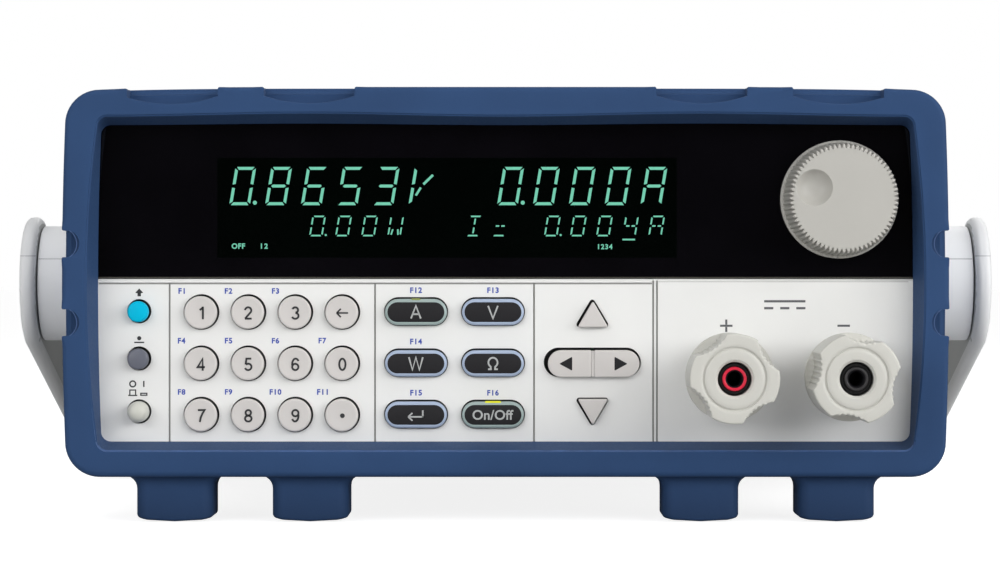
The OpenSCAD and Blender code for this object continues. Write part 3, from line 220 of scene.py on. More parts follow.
def stroke(bm, x0, z0, x1, z1, wide, y, proud=INK):
    """A printed straight line."""
    mark(bm, bar(x0, z0, x1, z1, wide), y, proud)


def ribbon(bm, points, wide, y, proud=INK, closed=False, mitre=0.5):
    """A stroke of even width along a line of points."""
    rings = []
    count = len(points)
    for i, p in enumerate(points):
        a = points[i - 1] if closed or i > 0 else p - (points[1] - p)
        b = points[(i + 1) % count] if closed or i < count - 1 else p + (p - points[i - 1])
        a = (p - a).normalized()
        along = (a + (b - p).normalized()).normalized()
        side = Vector((-along.y, along.x)) * wide / 2 / max(mitre, along.dot(a))
        rings.append(at((p + side, p - side), y - proud) + at((p - side, p + side), y))
    loft(bm, rings, closed)


def lettering(bm, text, x, z, height, y, bold=0.0, spread=1.0):
    """Letters of the built-in font, centred on a place and scaled to a height."""
    curve = bpy.data.curves.new("lettering", "FONT")
    curve.body = text
    curve.offset = bold
    curve.space_character = spread
    curve.resolution_u = 4
    curve.extrude = 0.5
    holder = bpy.data.objects.new("lettering", curve)
    SCENE.collection.objects.link(holder)
    shown = holder.evaluated_get(bpy.context.evaluated_depsgraph_get())
    mesh = bpy.data.meshes.new_from_object(shown)
    points = [v.co.copy() for v in mesh.vertices]
    lo = [min(p[i] for p in points) for i in (0, 1)]
    hi = [max(p[i] for p in points) for i in (0, 1)]
    scale = height / (hi[1] - lo[1])
    for vert in mesh.vertices:
        across = x + (vert.co.x - (lo[0] + hi[0]) / 2) * scale
        up = z + (vert.co.y - (lo[1] + hi[1]) / 2) * scale
        vert.co = spot(across, y - (INK if vert.co.z > 0 else 0), up)
    bm.from_mesh(mesh)
    bpy.data.objects.remove(holder)
    bpy.data.curves.remove(curve)
    bpy.data.meshes.remove(mesh)


# Pieces from meshes

def smooth(mesh, sharp):
    """Smooth shading that breaks at edges sharper than an angle."""
    mesh.polygons.foreach_set("use_smooth", [True] * len(mesh.polygons))
    mesh.set_sharp_from_angle(angle=radians(sharp))


def tint(mesh, material, where):
    """A second material on the faces that pass a test."""
    mesh.materials.append(MAT[material])
    for face in mesh.polygons:
        face.material_index = int(where(face))


def piece(name, bm, material, body, replaces=(), sharp=38, shade_from=None):
    """Finishes a mesh as an object that rides on a body; what lies deeper than shade_from is painted black,
    as the shade in a gap.
    """
    bmesh.ops.recalc_face_normals(bm, faces=bm.faces)
    mesh = bpy.data.meshes.new(name)
    bm.to_mesh(mesh)
    bm.free()
    smooth(mesh, sharp)
    obj = bpy.data.objects.new(name, mesh)
    SCENE.collection.objects.link(obj)
    mesh.materials.append(MAT[material])
    if shade_from is not None:
        # Painted shade: faces deeper than this depth take black
        limit = spot(0, shade_from, 0).y
        tint(mesh, "part_black", lambda face: face.center.y > limit)
    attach(obj, body)
    if replaces:
        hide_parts(*replaces)
    return obj


def combine(obj, bm, operation, material, sharp):
    """Joins a mesh to an object or cuts it out, and returns the object's new mesh."""
    bmesh.ops.recalc_face_normals(bm, faces=bm.faces)
    tool = bpy.data.objects.new("tool", bpy.data.meshes.new("tool"))
    bm.to_mesh(tool.data)
    bm.free()
    SCENE.collection.objects.link(tool)
    step = obj.modifiers.new("step", "BOOLEAN")
    step.operation = operation
    step.object = tool
    step.solver = "EXACT"
    shown = obj.evaluated_get(bpy.context.evaluated_depsgraph_get())
    mesh = bpy.data.meshes.new_from_object(shown)
    obj.modifiers.remove(step)
    obj.data = mesh
    bpy.data.objects.remove(tool)
    mesh.materials.clear()
    mesh.materials.append(MAT[material])
    smooth(mesh, sharp)
    return mesh


def legend(name, body, material, draw):
    """Printed marks of one ink on one body."""
    bm = bmesh.new()
    draw(bm)
    piece(name, bm, material, body, sharp=30)


# Materials

CLOUD_BAND = (0.3, 0.7)
# Pointiness band and lift of the paler convex edges: painted highlight, with some scuffing
PALE_EDGE_BAND = (0.52, 0.62)
PALE_EDGE_LIFT = 2.2
LEAST_ROUGH = 0.02
BUMP = 0.6


def rgb(r, g, b):
    """Scene-linear colour from screen values of 0 to 255."""
    screen = (r / 255, g / 255, b / 255)
    return tuple(((c + 0.055) / 1.055) ** 2.4 if c > 0.04 else c / 12.92 for c in screen) + (1.0,)


def shade(color, factor):
    return tuple(min(1.0, c * factor) for c in color[:3]) + (1.0,)


def put(node, **values):
    """Constant values on a node's sockets; an underscore stands for a space in a socket's name."""
    for name, value in values.items():
        node.inputs[name.replace("_", " ")].default_value = value


def add(tree, kind, **values):
    """A new shader node with constant values."""
    node = tree.nodes.new("ShaderNode" + kind)
    put(node, **values)
    return node


def remap(tree, value, **limits):
    """A value carried from one range to another."""
    node = add(tree, "MapRange", **limits)
    tree.links.new(value, node.inputs["Value"])
    return node.outputs["Result"]


def finish(name, color, rough, vary, grain, metal=0.0, cloud=60, rough_vary=0.06, grain_scale=2500,
           specular=0.5, sheen=0.0, wear=0.0, stretch=None, fade=None):
    """A principled material with cloudy colour, uneven gloss and a fine grain.

    Its convex edges may be painted paler, as highlight with some scuffing, and it may be painted darker low
    down, as shade.
    """
    mat = bpy.data.materials.new(name)
    mat.use_nodes = True
    tree = mat.node_tree
    link = tree.links.new
    bsdf = tree.nodes["Principled BSDF"]
    put(bsdf, Metallic=metal, Specular_IOR_Level=specular, Sheen_Weight=sheen)
    ground = add(tree, "TexCoord").outputs["Object"]
    place = ground
    if stretch:
        mapping = add(tree, "Mapping", Scale=stretch)
        link(ground, mapping.inputs["Vector"])
        place = mapping.outputs["Vector"]

    def noise(scale, detail):
        node = add(tree, "TexNoise", Scale=scale, Detail=detail)
        link(place, node.inputs["Vector"])
        return node.outputs["Fac"]

    clouds = add(tree, "ValToRGB")
    for stop, position, factor in zip(clouds.color_ramp.elements, CLOUD_BAND, (1 - vary, 1 + vary)):
        stop.position = position
        stop.color = shade(color, factor)
    link(noise(cloud, 4), clouds.inputs["Fac"])
    tone = clouds.outputs["Color"]
    # Painted highlight: convex edges made paler, with some scuffing
    if wear:
        convex = add(tree, "NewGeometry").outputs["Pointiness"]
        paled_edges = add(tree, "Mix")
        paled_edges.data_type = "RGBA"
        put(paled_edges, B=shade(color, PALE_EDGE_LIFT))
        share = remap(tree, convex, From_Min=PALE_EDGE_BAND[0], From_Max=PALE_EDGE_BAND[1], To_Max=wear)
        link(share, paled_edges.inputs["Factor"])
        link(tone, paled_edges.inputs["A"])
        tone = paled_edges.outputs["Result"]
    # Painted shade: the colour darkens towards the bottom, as shade on the feet under the bumper
    if fade:
        low, high, share = fade
        split = add(tree, "SeparateXYZ")
        link(ground, split.inputs["Vector"])
        level = remap(tree, split.outputs["Z"], To_Min=share,
                      From_Min=MID + low * MM, From_Max=MID + high * MM)
        dim = add(tree, "VectorMath")
        dim.operation = "SCALE"
        link(tone, dim.inputs["Vector"])
        link(level, dim.inputs["Scale"])
        tone = dim.outputs["Vector"]
    link(tone, bsdf.inputs["Base Color"])
    grainy = noise(grain_scale, 3)
    gloss = remap(tree, grainy, From_Min=CLOUD_BAND[0], From_Max=CLOUD_BAND[1],
                  To_Min=max(LEAST_ROUGH, rough - rough_vary), To_Max=min(1.0, rough + rough_vary))
    link(gloss, bsdf.inputs["Roughness"])
    if grain:
        bump = add(tree, "Bump", Strength=BUMP, Distance=grain * MM)
        link(grainy, bump.inputs["Height"])
        link(bump.outputs["Normal"], bsdf.inputs["Normal"])
    return mat


def glow(name, color, strength, ripple=0.12, scale=1400):
    """Lit phosphor: an emission whose brightness ripples finely."""
    mat = finish(name, shade(color, 0.15), 0.4, 0.05, 0)
    tree = mat.node_tree
    bsdf = tree.nodes["Principled BSDF"]
    put(bsdf, Emission_Color=color)
    noise = add(tree, "TexNoise", Scale=scale)
    tree.links.new(add(tree, "TexCoord").outputs["Object"], noise.inputs["Vector"])
    level = remap(tree, noise.outputs["Fac"], To_Min=strength * (1 - ripple), To_Max=strength * (1 + ripple))
    tree.links.new(level, bsdf.inputs["Emission Strength"])
    return mat


# Each finish: screen colour, roughness, colour variation, depth of grain, and what else it has
PALETTE = {
    # Bumper rubber: its paler convex edges are painted highlight, its lowest part painted shade
    "rubber_blue": ((41, 68, 107), 0.62, 0.06, 0.03,
                    dict(cloud=45, grain_scale=1800, specular=0.16, sheen=0.02, wear=0.12,
                         fade=(-62, -47, 0.62))),
    # Paler rubber for painted highlights on edges
    "rubber_glint": ((51, 80, 126), 0.5, 0.15, 0.02, dict(cloud=300)),
    "case_paint": ((196, 197, 196), 0.55, 0.01, 0.05, dict(grain_scale=1500)),
    "panel_plastic": ((231, 231, 229), 0.5, 0.012, 0.012, dict(grain_scale=3000)),
    "window_black": ((8, 7, 10), 0.06, 0.2, 0, dict(rough_vary=0.02, specular=0.35)),
    "display_glass": ((2, 2, 4), 0.05, 0.2, 0, dict(rough_vary=0.02, specular=0.25)),
    "board_green": ((28, 92, 58), 0.35, 0.15, 0.02, dict(cloud=250)),
    "part_black": ((28, 28, 30), 0.5, 0.12, 0.03, {}),
    "bright_steel": ((200, 202, 205), 0.28, 0.06, 0.004, dict(metal=1.0)),
    "core_steel": ((120, 122, 126), 0.45, 0.12, 0.01, dict(metal=0.9, stretch=(1, 1, 12))),
    "knob_plastic": ((178, 176, 170), 0.42, 0.02, 0.012, dict(grain_scale=3500)),
    # Painted shade for the valleys between the knob's teeth
    "knob_painted_shade": ((170, 168, 162), 0.5, 0.03, 0.01, {}),
    "terminal_plastic": ((197, 196, 189), 0.38, 0.015, 0.008, {}),
    "post_brass": ((205, 172, 96), 0.25, 0.08, 0.003, dict(metal=1.0)),
    "bar_copper": ((196, 124, 88), 0.3, 0.1, 0.003, dict(metal=1.0)),
    "sink_aluminium": ((190, 192, 195), 0.35, 0.05, 0.006, dict(metal=1.0, stretch=(8, 0.4, 8))),
    "sleeve_red": ((212, 20, 56), 0.32, 0.05, 0.006, {}),
    "collar_black": ((7, 6, 7), 0.5, 0.1, 0.006, dict(specular=0.25)),
    "sleeve_black": ((36, 34, 36), 0.35, 0.08, 0.006, {}),
    "connector_black": ((30, 30, 32), 0.45, 0.1, 0.02, {}),
    "handle_plastic": ((232, 233, 234), 0.48, 0.02, 0.015, dict(wear=0.05)),
    # Darker, rougher plastic for the arms' inner faces: painted shade
    "handle_inner_shade": ((192, 193, 192), 0.6, 0.02, 0.03, {}),
    "hub_plastic": ((243, 244, 246), 0.48, 0.02, 0.015, {}),
    "seam_grey": ((168, 169, 172), 0.6, 0.04, 0.004, {}),
    "key_plastic": ((204, 200, 197), 0.5, 0.015, 0.01, {}),
    "mode_plastic": ((164, 179, 203), 0.35, 0.04, 0.006, {}),
    "lit_plastic": ((155, 172, 170), 0.35, 0.04, 0.006, {}),
    "insert_black": ((21, 20, 24), 0.5, 0.08, 0.01, dict(specular=0.3)),
    "shift_cyan": ((0, 182, 218), 0.45, 0.03, 0.006, dict(specular=0.08)),
    "local_grey": ((96, 99, 111), 0.4, 0.03, 0.006, {}),
    "power_cream": ((201, 201, 192), 0.35, 0.02, 0.006, {}),
    "ink_dark": ((36, 37, 40), 0.6, 0.08, 0.004, dict(cloud=400)),
    "ink_grey": ((88, 89, 93), 0.6, 0.08, 0.004, dict(cloud=400)),
    "ink_blue": ((37, 68, 166), 0.6, 0.06, 0.004, dict(cloud=400)),
    "ink_pale": ((172, 174, 174), 0.6, 0.05, 0.004, dict(cloud=400)),
    # Painted shade in the panel's moulded lines
    "groove_painted_shade": ((146, 146, 143), 0.8, 0.05, 0.004, dict(cloud=400)),
    "line_grey": ((186, 186, 184), 0.7, 0.04, 0.004, dict(cloud=400)),
    "field_black": ((1, 3, 2), 0.08, 0.2, 0, dict(specular=0.2)),
    # Painted highlight along the display window's lower edge
    "window_edge_highlight": ((58, 56, 48), 0.3, 0.1, 0.004, {}),
    "led_dim": ((140, 150, 84), 0.3, 0.05, 0.004, {}),
}
MAT = {name: finish(name, rgb(*color), *look, **more) for name, (color, *look, more) in PALETTE.items()}
MAT["phosphor"] = glow("phosphor", rgb(104, 192, 163), 0.95)
MAT["led_green"] = glow("led_green", rgb(208, 208, 6), 1.0)


# Rubber bumpers: one closed skin of columns round the frame and rows across its section

BUMPER_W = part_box("front_bumper")[1].x / MM
BUMPER_BOW = 0.8
BUMPER_HALF_W = BUMPER_W - BUMPER_BOW
BUMPER_CROWN = 0.7
BUMPER_HALF_H = heights("front_bumper")[1] - BUMPER_CROWN
BUMPER_LOW = heights("front_bumper")[0]
BUMPER_D = depths("front_bumper")[1]
BUMPER_R = 9
BUMPER_EDGE = 1.5
BUMPER_SHARP = 42
SIDE_STEPS = 30
TOP_STEPS = 110
BOTTOM_STEPS = 60
CORNER_STEPS = 12
BODY_ROWS = (34, 22, 12)
LIP_EDGE = 0.4
LIP_HALF_W = 105.7
LIP_HALF_H = 41.35
LIP_R = 2.6
LIP_FLARE = 1.9
# At the front and at the panel
LIP_SCOOP = (2.8, 0.8)
LIP_WAVE = (0.8, 0.4)
LIP_ROWS = (3, 6)
# How far past the lip the painted highlight on the lower lip reaches, across and up
GLINT_REACH = (3, 3.5)
SEAT_HALF_W = 107.4
SEAT_HALF_H = 44.25
SEAT_R = 3.15
SEAT_ROW = 27
FOOT_X = (-86.2, -50.8, 50.8, 86.2)
FOOT_W = 19.9
FOOT_Y = 5
FOOT_D = 22
FOOT_R = 3
FOOT_BACK_R = 5
FOOT_CROWN = 1
FOOT_FLAT = 4
FOOT_FILLET = 3.3
FOOT_EDGE = 0.9
FOOT_ROOT = 1.0
SOLE_RINGS = (0.85, 0.7, 0.5, 0.3, 0.12)
NOTCH_HALF = 11.75
NOTCH_DEPTH = 4.3
NOTCH_SAG = 2
NOTCH_REACH = 7.5
NOTCH_EDGE = 0.45
NOTCH_BACK = 1.6
NOTCH_SHELF = 5
NOTCH_ROW = 4
# Steps where the notch's floor meets its back: how far before it, depth still missing
NOTCH_ROOT = ((0.01, 0.3), (0.09, 0.09), (0.3, 0.0))
NOTCH_FIT = 0.9995
NOTCH_FRONT = 0.3
NOTCH_FADE = (0.8, 1.3, 2.0, 3.0)
SIDE_NOTCH_Z = (-10.2, 10.2)
SIDE_NOTCH_R = 3.45
SIDE_NOTCH_DEPTH = 4.5
# Place, width and sweep of the painted highlights round the side notches
RIM_GAP = 0.12
RIM_WIDE = 0.2
RIM_TURN = 58


def straight(half, centres, reach, depth_at, plain):
    """Columns along a straight run: place, notch depth and front edge round, with rounded notch edges."""
    marks = {}
    for k in range(plain + 1):
        s = half * (2 * k / plain - 1)
        if all(abs(s - c) > reach + 2 * NOTCH_EDGE for c in centres):
            marks[s] = 0.0
    for c in centres:
        for way in (-1, 1):
            for gap in NOTCH_FADE:
                marks[c + way * reach + way * gap] = 0.0
            for gap, back in edge_arc(NOTCH_EDGE, 4):
                marks[c + way * (reach + back)] = gap
        for a in half_turn(16):
            s = reach * NOTCH_FIT * sin(a)
            marks[c + s] = depth_at(s)

    def edge(s):
        past = min(abs(s - c) for c in centres) - reach
        return NOTCH_FRONT + (BUMPER_EDGE - NOTCH_FRONT) * max(0.0, min(1.0, past / NOTCH_FADE[-1]))

    return [(s / half, depth, edge(s)) for s, depth in sorted(marks.items())]


def stack_depth(s):
    """Depth of a stacking notch, whose floor is a flat arc."""
    arc_r = (NOTCH_HALF ** 2 + NOTCH_SAG ** 2) / (2 * NOTCH_SAG)
    return NOTCH_DEPTH - arc_r + sqrt(arc_r ** 2 - s ** 2)


def side_depth(s):
    """Depth of a side notch, which ends in a half round."""
    return SIDE_NOTCH_DEPTH - SIDE_NOTCH_R + sqrt(max(0.0, SIDE_NOTCH_R ** 2 - s ** 2))


def bumper_columns():
    """Columns round a bumper as (run, parameter, notch depth, edge), anticlockwise from low on the right."""
    side = straight(BUMPER_HALF_H - BUMPER_R, SIDE_NOTCH_Z, SIDE_NOTCH_R, side_depth, SIDE_STEPS)
    top = straight(BUMPER_HALF_W - BUMPER_R, FOOT_X, NOTCH_HALF, stack_depth, TOP_STEPS)
    bottom = [(2 * k / BOTTOM_STEPS - 1, 0, BUMPER_EDGE) for k in range(BOTTOM_STEPS + 1)]
    columns = []
    runs = (("right", side), ("top", top[::-1]), ("left", side[::-1]), ("bottom", bottom))
    for quarter, (run, marks) in enumerate(runs):
        columns += [(run, *mark_at) for mark_at in marks]
        for k in range(1, CORNER_STEPS):
            columns.append(("corner", 90 * quarter + 90 * (k / CORNER_STEPS), 0, BUMPER_EDGE))
    return columns


def plain(depth):
    """A row that no notch reaches."""
    return 0.0


def whole(depth):
    """A row that sinks as deep as the notches."""
    return depth


def bumper_ring(columns, half_w, half_h, r, bow=0, rise=0, wavy=False, drop=plain):
    """One row of a bumper: (x, z) of each column; drop turns a notch depth into how far this row sinks."""
    ring = []
    for run, t, depth, _ in columns:
        down = drop(depth) if depth else 0.0
        if run in ("right", "left"):
            across = half_w + bow * (1 - t * t) - down
            ring.append((across if run == "right" else -across, t * (half_h - r)))
        elif run == "top":
            lift = (1 - cos(2 * pi * (t + 1))) / 2 if wavy else 1 - t ** 6
            ring.append((t * (half_w - r), half_h + rise * lift - down))
        elif run == "bottom":
            ring.append((t * (half_w - r), -half_h))
        else:
            a = radians(t)
            across = copysign(half_w - r, cos(a))
            up = copysign(half_h - r, sin(a))
            ring.append((across + r * cos(a), up + r * sin(a)))
    return ring


def outward(run, t):
    """Direction out of the bumper at a column, across and up."""
    flat = {"right": (1, 0), "left": (-1, 0), "top": (0, 1), "bottom": (0, -1)}
    return flat.get(run) or (cos(radians(t)), sin(radians(t)))


def bumper_rows(columns):
    """Rows of a bumper section: outside from back to front, front face, lip, seat."""

    def outer(y, gap, drop):
        ring = bumper_ring(columns, BUMPER_HALF_W - gap, BUMPER_HALF_H - gap, BUMPER_R - gap,
                           BUMPER_BOW, BUMPER_CROWN, drop=drop)
        return [(x, y, z) for x, z in ring]

    def front_edge(gap, back):
        """A row of the front edge round, whose radius differs from column to column."""
        row = []
        for (x, y, z), (run, t, _, edge) in zip(outer(0, 0, whole), columns):
            out = outward(run, t)
            row.append((x - out[0] * gap * edge, back * edge, z - out[1] * gap * edge))
        return row

    def lip(y, grow):
        f = y / FACE_Y
        ring = bumper_ring(columns, LIP_HALF_W + grow, LIP_HALF_H + LIP_FLARE * (1 - f) + grow, LIP_R + grow,
                           LIP_SCOOP[0] + (LIP_SCOOP[1] - LIP_SCOOP[0]) * f,
                           LIP_WAVE[0] + (LIP_WAVE[1] - LIP_WAVE[0]) * f, wavy=True)
        return [(x, y, z) for x, z in ring]

    def seat(y):
        return [(x, y, z) for x, z in bumper_ring(columns, SEAT_HALF_W, SEAT_HALF_H, SEAT_R)]

    rows = [outer(BUMPER_D - back, gap, plain) for gap, back in reversed(list(edge_arc(BUMPER_EDGE / 2, 4)))]
    rows += [outer(y, 0, plain) for y in BODY_ROWS]
    for gap, back in edge_arc(NOTCH_BACK, 6):
        rows.append(outer(NOTCH_REACH + NOTCH_BACK - gap, 0, lambda d, b=NOTCH_BACK - back: min(d, b)))
    for back, left in NOTCH_ROOT:
        rows.append(outer(NOTCH_REACH - back, 0, lambda d, b=left: max(0.0, d - b)))
    rows.append(outer(NOTCH_ROW, 0, whole))
    rows += [front_edge(gap, back) for gap, back in edge_arc(1, 6)]
    rows.append(outer(0, NOTCH_SHELF, plain))
    rows += [lip(LIP_EDGE - back, LIP_EDGE - gap) for gap, back in edge_arc(LIP_EDGE, 4)]
    rows += [lip(y, 0) for y in (*LIP_ROWS, FACE_Y)]
    rows += [seat(y) for y in (FACE_Y, SEAT_ROW, BUMPER_D)]
    return rows


def foot_rings(x0):
    """A foot from inside the rubber down to its rounded underside."""
    half_w, half_d = FOOT_W / 2, FOOT_D / 2
    corners = [(half_w, -half_d, FOOT_R), (half_w, half_d, FOOT_BACK_R), (0, half_d, 0),
               (-half_w, half_d, FOOT_BACK_R), (-half_w, -half_d, FOOT_R), (0, -half_d, 0)]
    plan = rounded(corners, steps=8, closed=True)
    arc_half = half_w - FOOT_FLAT / 2
    arc_r = (arc_half ** 2 + FOOT_CROWN ** 2) / (2 * FOOT_CROWN)

    def low(x):
        past = max(0.0, abs(x) - FOOT_FLAT / 2)
        return BUMPER_LOW + arc_r - sqrt(max(0.0, arc_r ** 2 - past ** 2))

    def ring(points, stretch, height):
        return [(x0 + p.x * stretch, FOOT_Y + half_d + p.y, height(p.x)) for p in points]

    rings = [ring(plan, 1 + FOOT_FILLET / half_w, lambda x: FOOT_ROOT - BUMPER_HALF_H)]
    for down, out in edge_arc(FOOT_FILLET, 6):
        rings.append(ring(plan, 1 + out / half_w, lambda x: -BUMPER_HALF_H - down))
    for gap, back in edge_arc(FOOT_EDGE, 5):
        rings.append(ring(inset(plan, gap), 1, lambda x: low(x) + back))
    sole = inset(plan, FOOT_EDGE)
    rings += [ring([p * share for p in sole], 1, low) for share in SOLE_RINGS]
    rings.append([(x0, FOOT_Y + half_d, BUMPER_LOW)])
    return rings


def bumper(name, flip):
    """A bumper with its feet, mirrored front to back for the rear; the lower lip's edge has a painted
    highlight.
    """
    end = depths(name)[1]

    def place(p):
        return spot(p[0], end - p[1] if flip else p[1], p[2])

    bm = bmesh.new()
    loft(bm, [[place(p) for p in row] for row in bumper_rows(bumper_columns())], loop=True)
    skin = piece(name + "_skin", bm, "rubber_blue", "chassis", replaces=(name,),
                 sharp=BUMPER_SHARP)
    feet = bmesh.new()
    for x in FOOT_X:
        loft(feet, [[place(p) for p in ring] for ring in foot_rings(x)])
    near, far = sorted((place((0, 0, 0)).y, place((0, LIP_EDGE, 0)).y))
    half_w = (LIP_HALF_W + GLINT_REACH[0]) * MM
    half_h = (LIP_HALF_H + GLINT_REACH[1]) * MM

    # Painted highlight on the up-facing faces of the lower lip's front edge
    def glinting(face):
        x, y, z = face.center
        return near < y < far and abs(x) < half_w and abs(z - MID) < half_h and face.normal.z > 0.1

    tint(combine(skin, feet, "UNION", "rubber_blue", BUMPER_SHARP), "rubber_glint", glinting)


def notch_glints():
    """Painted highlights along the rims of the side notches of the front bumper."""
    bm = bmesh.new()
    r = SIDE_NOTCH_R + NOTCH_EDGE + RIM_GAP
    turns = [radians(a) for a in range(-RIM_TURN, RIM_TURN + 1, 4)]
    for way in (-1, 1):
        for z in SIDE_NOTCH_Z:
            line = [Vector((way * (BUMPER_W - r * cos(a)), z + r * sin(a))) for a in turns]
            ribbon(bm, line, RIM_WIDE, 0)
    piece("notch_glints", bm, "rubber_glint", "chassis")


bumper("front_bumper", False)
bumper("rear_bumper", True)
notch_glints()


# Plain stroked numerals and unit signs, drawn in a cell one unit high

def arc(x, z, rx, rz, start, end, steps=16):
    turns = [radians(start + (end - start) * k / steps) for k in range(steps + 1)]
    return [(x + rx * cos(a), z + rz * sin(a)) for a in turns]


def oval(x, z, rx, rz):
    return arc(x, z, rx, rz, 0, 360)[:-1]


SIX = [oval(0.285, 0.295, 0.225, 0.25), arc(0.31, 0.5, 0.25, 0.45, 190, 35)]
GLYPHS = {
    "0": [oval(0.28, 0.5, 0.225, 0.45)],
    "1": [[(0.1, 0.74), (0.23, 0.82), (0.33, 0.95)], [(0.335, 1), (0.335, 0)]],
    "2": [arc(0.275, 0.7, 0.225, 0.25, 175, -30) + [(0.17, 0.2), (0.06, 0.055)],
          [(0.04, 0.05), (0.53, 0.05)]],
    "3": [arc(0.265, 0.735, 0.205, 0.215, 160, -85), arc(0.265, 0.275, 0.235, 0.235, 85, -160)],
    "4": [[(0.4, 0), (0.4, 0.95), (0.04, 0.28), (0.56, 0.28)]],
    "5": [[(0.5, 0.95), (0.15, 0.95), (0.09, 0.49)], arc(0.275, 0.3, 0.235, 0.255, 135, -160)],
    "6": SIX,
    "7": [[(0.04, 0.95), (0.52, 0.95), (0.36, 0.66), (0.24, 0.34), (0.18, 0)]],
    "8": [oval(0.28, 0.735, 0.195, 0.215), oval(0.28, 0.275, 0.235, 0.235)],
    "9": [[(0.57 - x, 1 - z) for x, z in line] for line in SIX],
    "A": [[(0, 0), (0.35, 1), (0.7, 0)], [(0.12, 0.34), (0.58, 0.34)]],
    "V": [[(0, 1), (0.35, 0), (0.7, 1)]],
    "W": [[(0, 1), (0.25, 0), (0.5, 1), (0.75, 0), (1, 1)]],
    "Ω": [[(0.02, 0.05), (0.22, 0.05)] + arc(0.37, 0.58, 0.33, 0.38, 240, -60)
          + [(0.52, 0.05), (0.72, 0.05)]],
}
GLYPH_WIDTH = 1.1
GLYPH_H = 3.3
RINGED = {"0": (0,), "6": (0,), "8": (0, 1), "9": (0,)}


def glyph(bm, text, x, z, wide, y, proud=INK):
    """One stroked sign, centred on a place."""
    across = [p[0] for line in GLYPHS[text] for p in line]
    shift = (min(across) + max(across)) / 2
    for k, line in enumerate(GLYPHS[text]):
        points = [Vector((x + (a - shift) * GLYPH_H * GLYPH_WIDTH, z + (b - 0.5) * GLYPH_H)) for a, b in line]
        ribbon(bm, points, wide, y, proud, closed=k in RINGED.get(text, ()))


# Keys of the front panel

RIM_Y = 13.25
RIM_T = 1.2
FLANGE = 0.8
FLANGE_R = 0.5
STEM_R = 1.6
KEY_R = 4.3
KEY_EDGE = 0.45
KEY_FLAT = 0.86
KEY_DISH = 0.18
KEY_DROP = 0.12
KEY_LEAN = 0.12
# Depth from which a key's sides are painted black, as the shade in the gap round it
KEY_SHADE_FROM = FACE_Y - 0.6
PRINT_X = 0.1
PRINT_Z = -0.24
DIGIT_WIDE = 0.51
DIGIT_PROUD = 0.14
MARK_WIDE = 0.42
MARK_PROUD = 0.06
POINT_R = 0.62
BUTTON_R = 2.75
BUTTON_EDGE = 0.7
BUTTON_CROWN = 0.25
POWER_STEM_R = 1.5
MODE_W = 16.2
MODE_H = 6.9
MODE_EDGE = 0.7
INSERT_W = 14.9
INSERT_H = 5.2
INSERT_PROUD = 0.12
INSERT_DEEP = 0.4
UNIT_WIDE = 0.44
RETURN_WIDE = 0.4
LAMP_H = 0.6
LAMP_DROP = 0.14
LAMPS = (("load_key", 4.2, "led_green"), ("mode_key_current", 2.4, "led_dim"))
ARROW_EDGE = 0.3
TRIANGLE_W = 8.0
TRIANGLE_H = 6.9
TRIANGLE_R = 0.35
TRIANGLE_SAG = 0.18
ROCKER_PLAY = 0.5
ROCKER_LEAN = 0.32
ROCKER_SAG = 0.33
ROCKER_H = 7.05
ROCKER_R = 0.45
# Half width, half height and corner radius of the rocker's triangles
POINTER = (1.7, 1.85, 0.15)
SPLIT_WIDE = 0.3
SPLIT_SHORT = 0.25
SPLIT_SINK = 0.12


def key_piece(node, bm, material, end="_cap", sharp=38):
    """The piece that stands for a key's node; behind the panel it is painted black, as the shade in the gap
    round the key.
    """
    piece(node + end, bm, material, node, replaces=(node,), sharp=sharp,
          shade_from=KEY_SHADE_FROM)


def key_back(bm, node, outline, x):
    """The flange behind the panel and the stem of a key."""
    slab(bm, outline, RIM_Y, RIM_Y + RIM_T)
    slab(bm, circle(x, middle(node)[1], STEM_R), RIM_Y + RIM_T, depths(node)[1])


def turned_back(r, end, stem=STEM_R):
    """Profile of a round key behind the panel: flange and stem."""
    back = RIM_Y + RIM_T
    return [(r, RIM_Y), (r + FLANGE, RIM_Y), (r + FLANGE, back), (stem, back), (stem, end), (0, end)]


def turned_key(node, r, material, edge=KEY_EDGE, dish=KEY_DISH):
    """A round key with a softly dished face, sagging a little in its hole."""
    x, z = middle(node)
    y0, y1 = depths(node)
    flat = r * KEY_FLAT
    bm = bmesh.new()
    face = [(flat * k / 6, y0 + dish * (1 - (k / 6) ** 2)) for k in range(6)]
    side = rounded([(flat, y0, 0), (r, y0, edge), (r, KEY_SHADE_FROM, 0)], steps=5)
    lathe(bm, x - KEY_LEAN, z - KEY_DROP, face + side + turned_back(r, y1))
    key_piece(node, bm, material)


def point_mark(bm, x, z, y):
    mark(bm, circle(x, z, POINT_R, 24), y, MARK_PROUD)


def back_mark(bm, x, z, y):
    """A small arrow to the left, for going back."""
    stroke(bm, x - 1.3, z, x + 1.5, z, MARK_WIDE, y, MARK_PROUD)
    for way in (-1, 1):
        stroke(bm, x - 1.5, z, x - 0.4, z + way * 1.1, MARK_WIDE, y, MARK_PROUD)


def round_keys():
    for text in "1234567890":
        node = "key_" + text
        turned_key(node, KEY_R, "key_plastic")
        x, z = middle(node)
        y = depths(node)[0] + KEY_DISH
        legend(node + "_print", node, "ink_dark",
               lambda bm: glyph(bm, text, x + PRINT_X, z + PRINT_Z, DIGIT_WIDE, y, DIGIT_PROUD))
    for node, draw in (("key_point", point_mark), ("key_esc", back_mark)):
        turned_key(node, KEY_R, "key_plastic")
        x, z = middle(node)
        y = depths(node)[0] + KEY_DISH * 0.9
        legend(node + "_print", node, "ink_dark", lambda bm: draw(bm, x + PRINT_X, z + PRINT_Z, y))


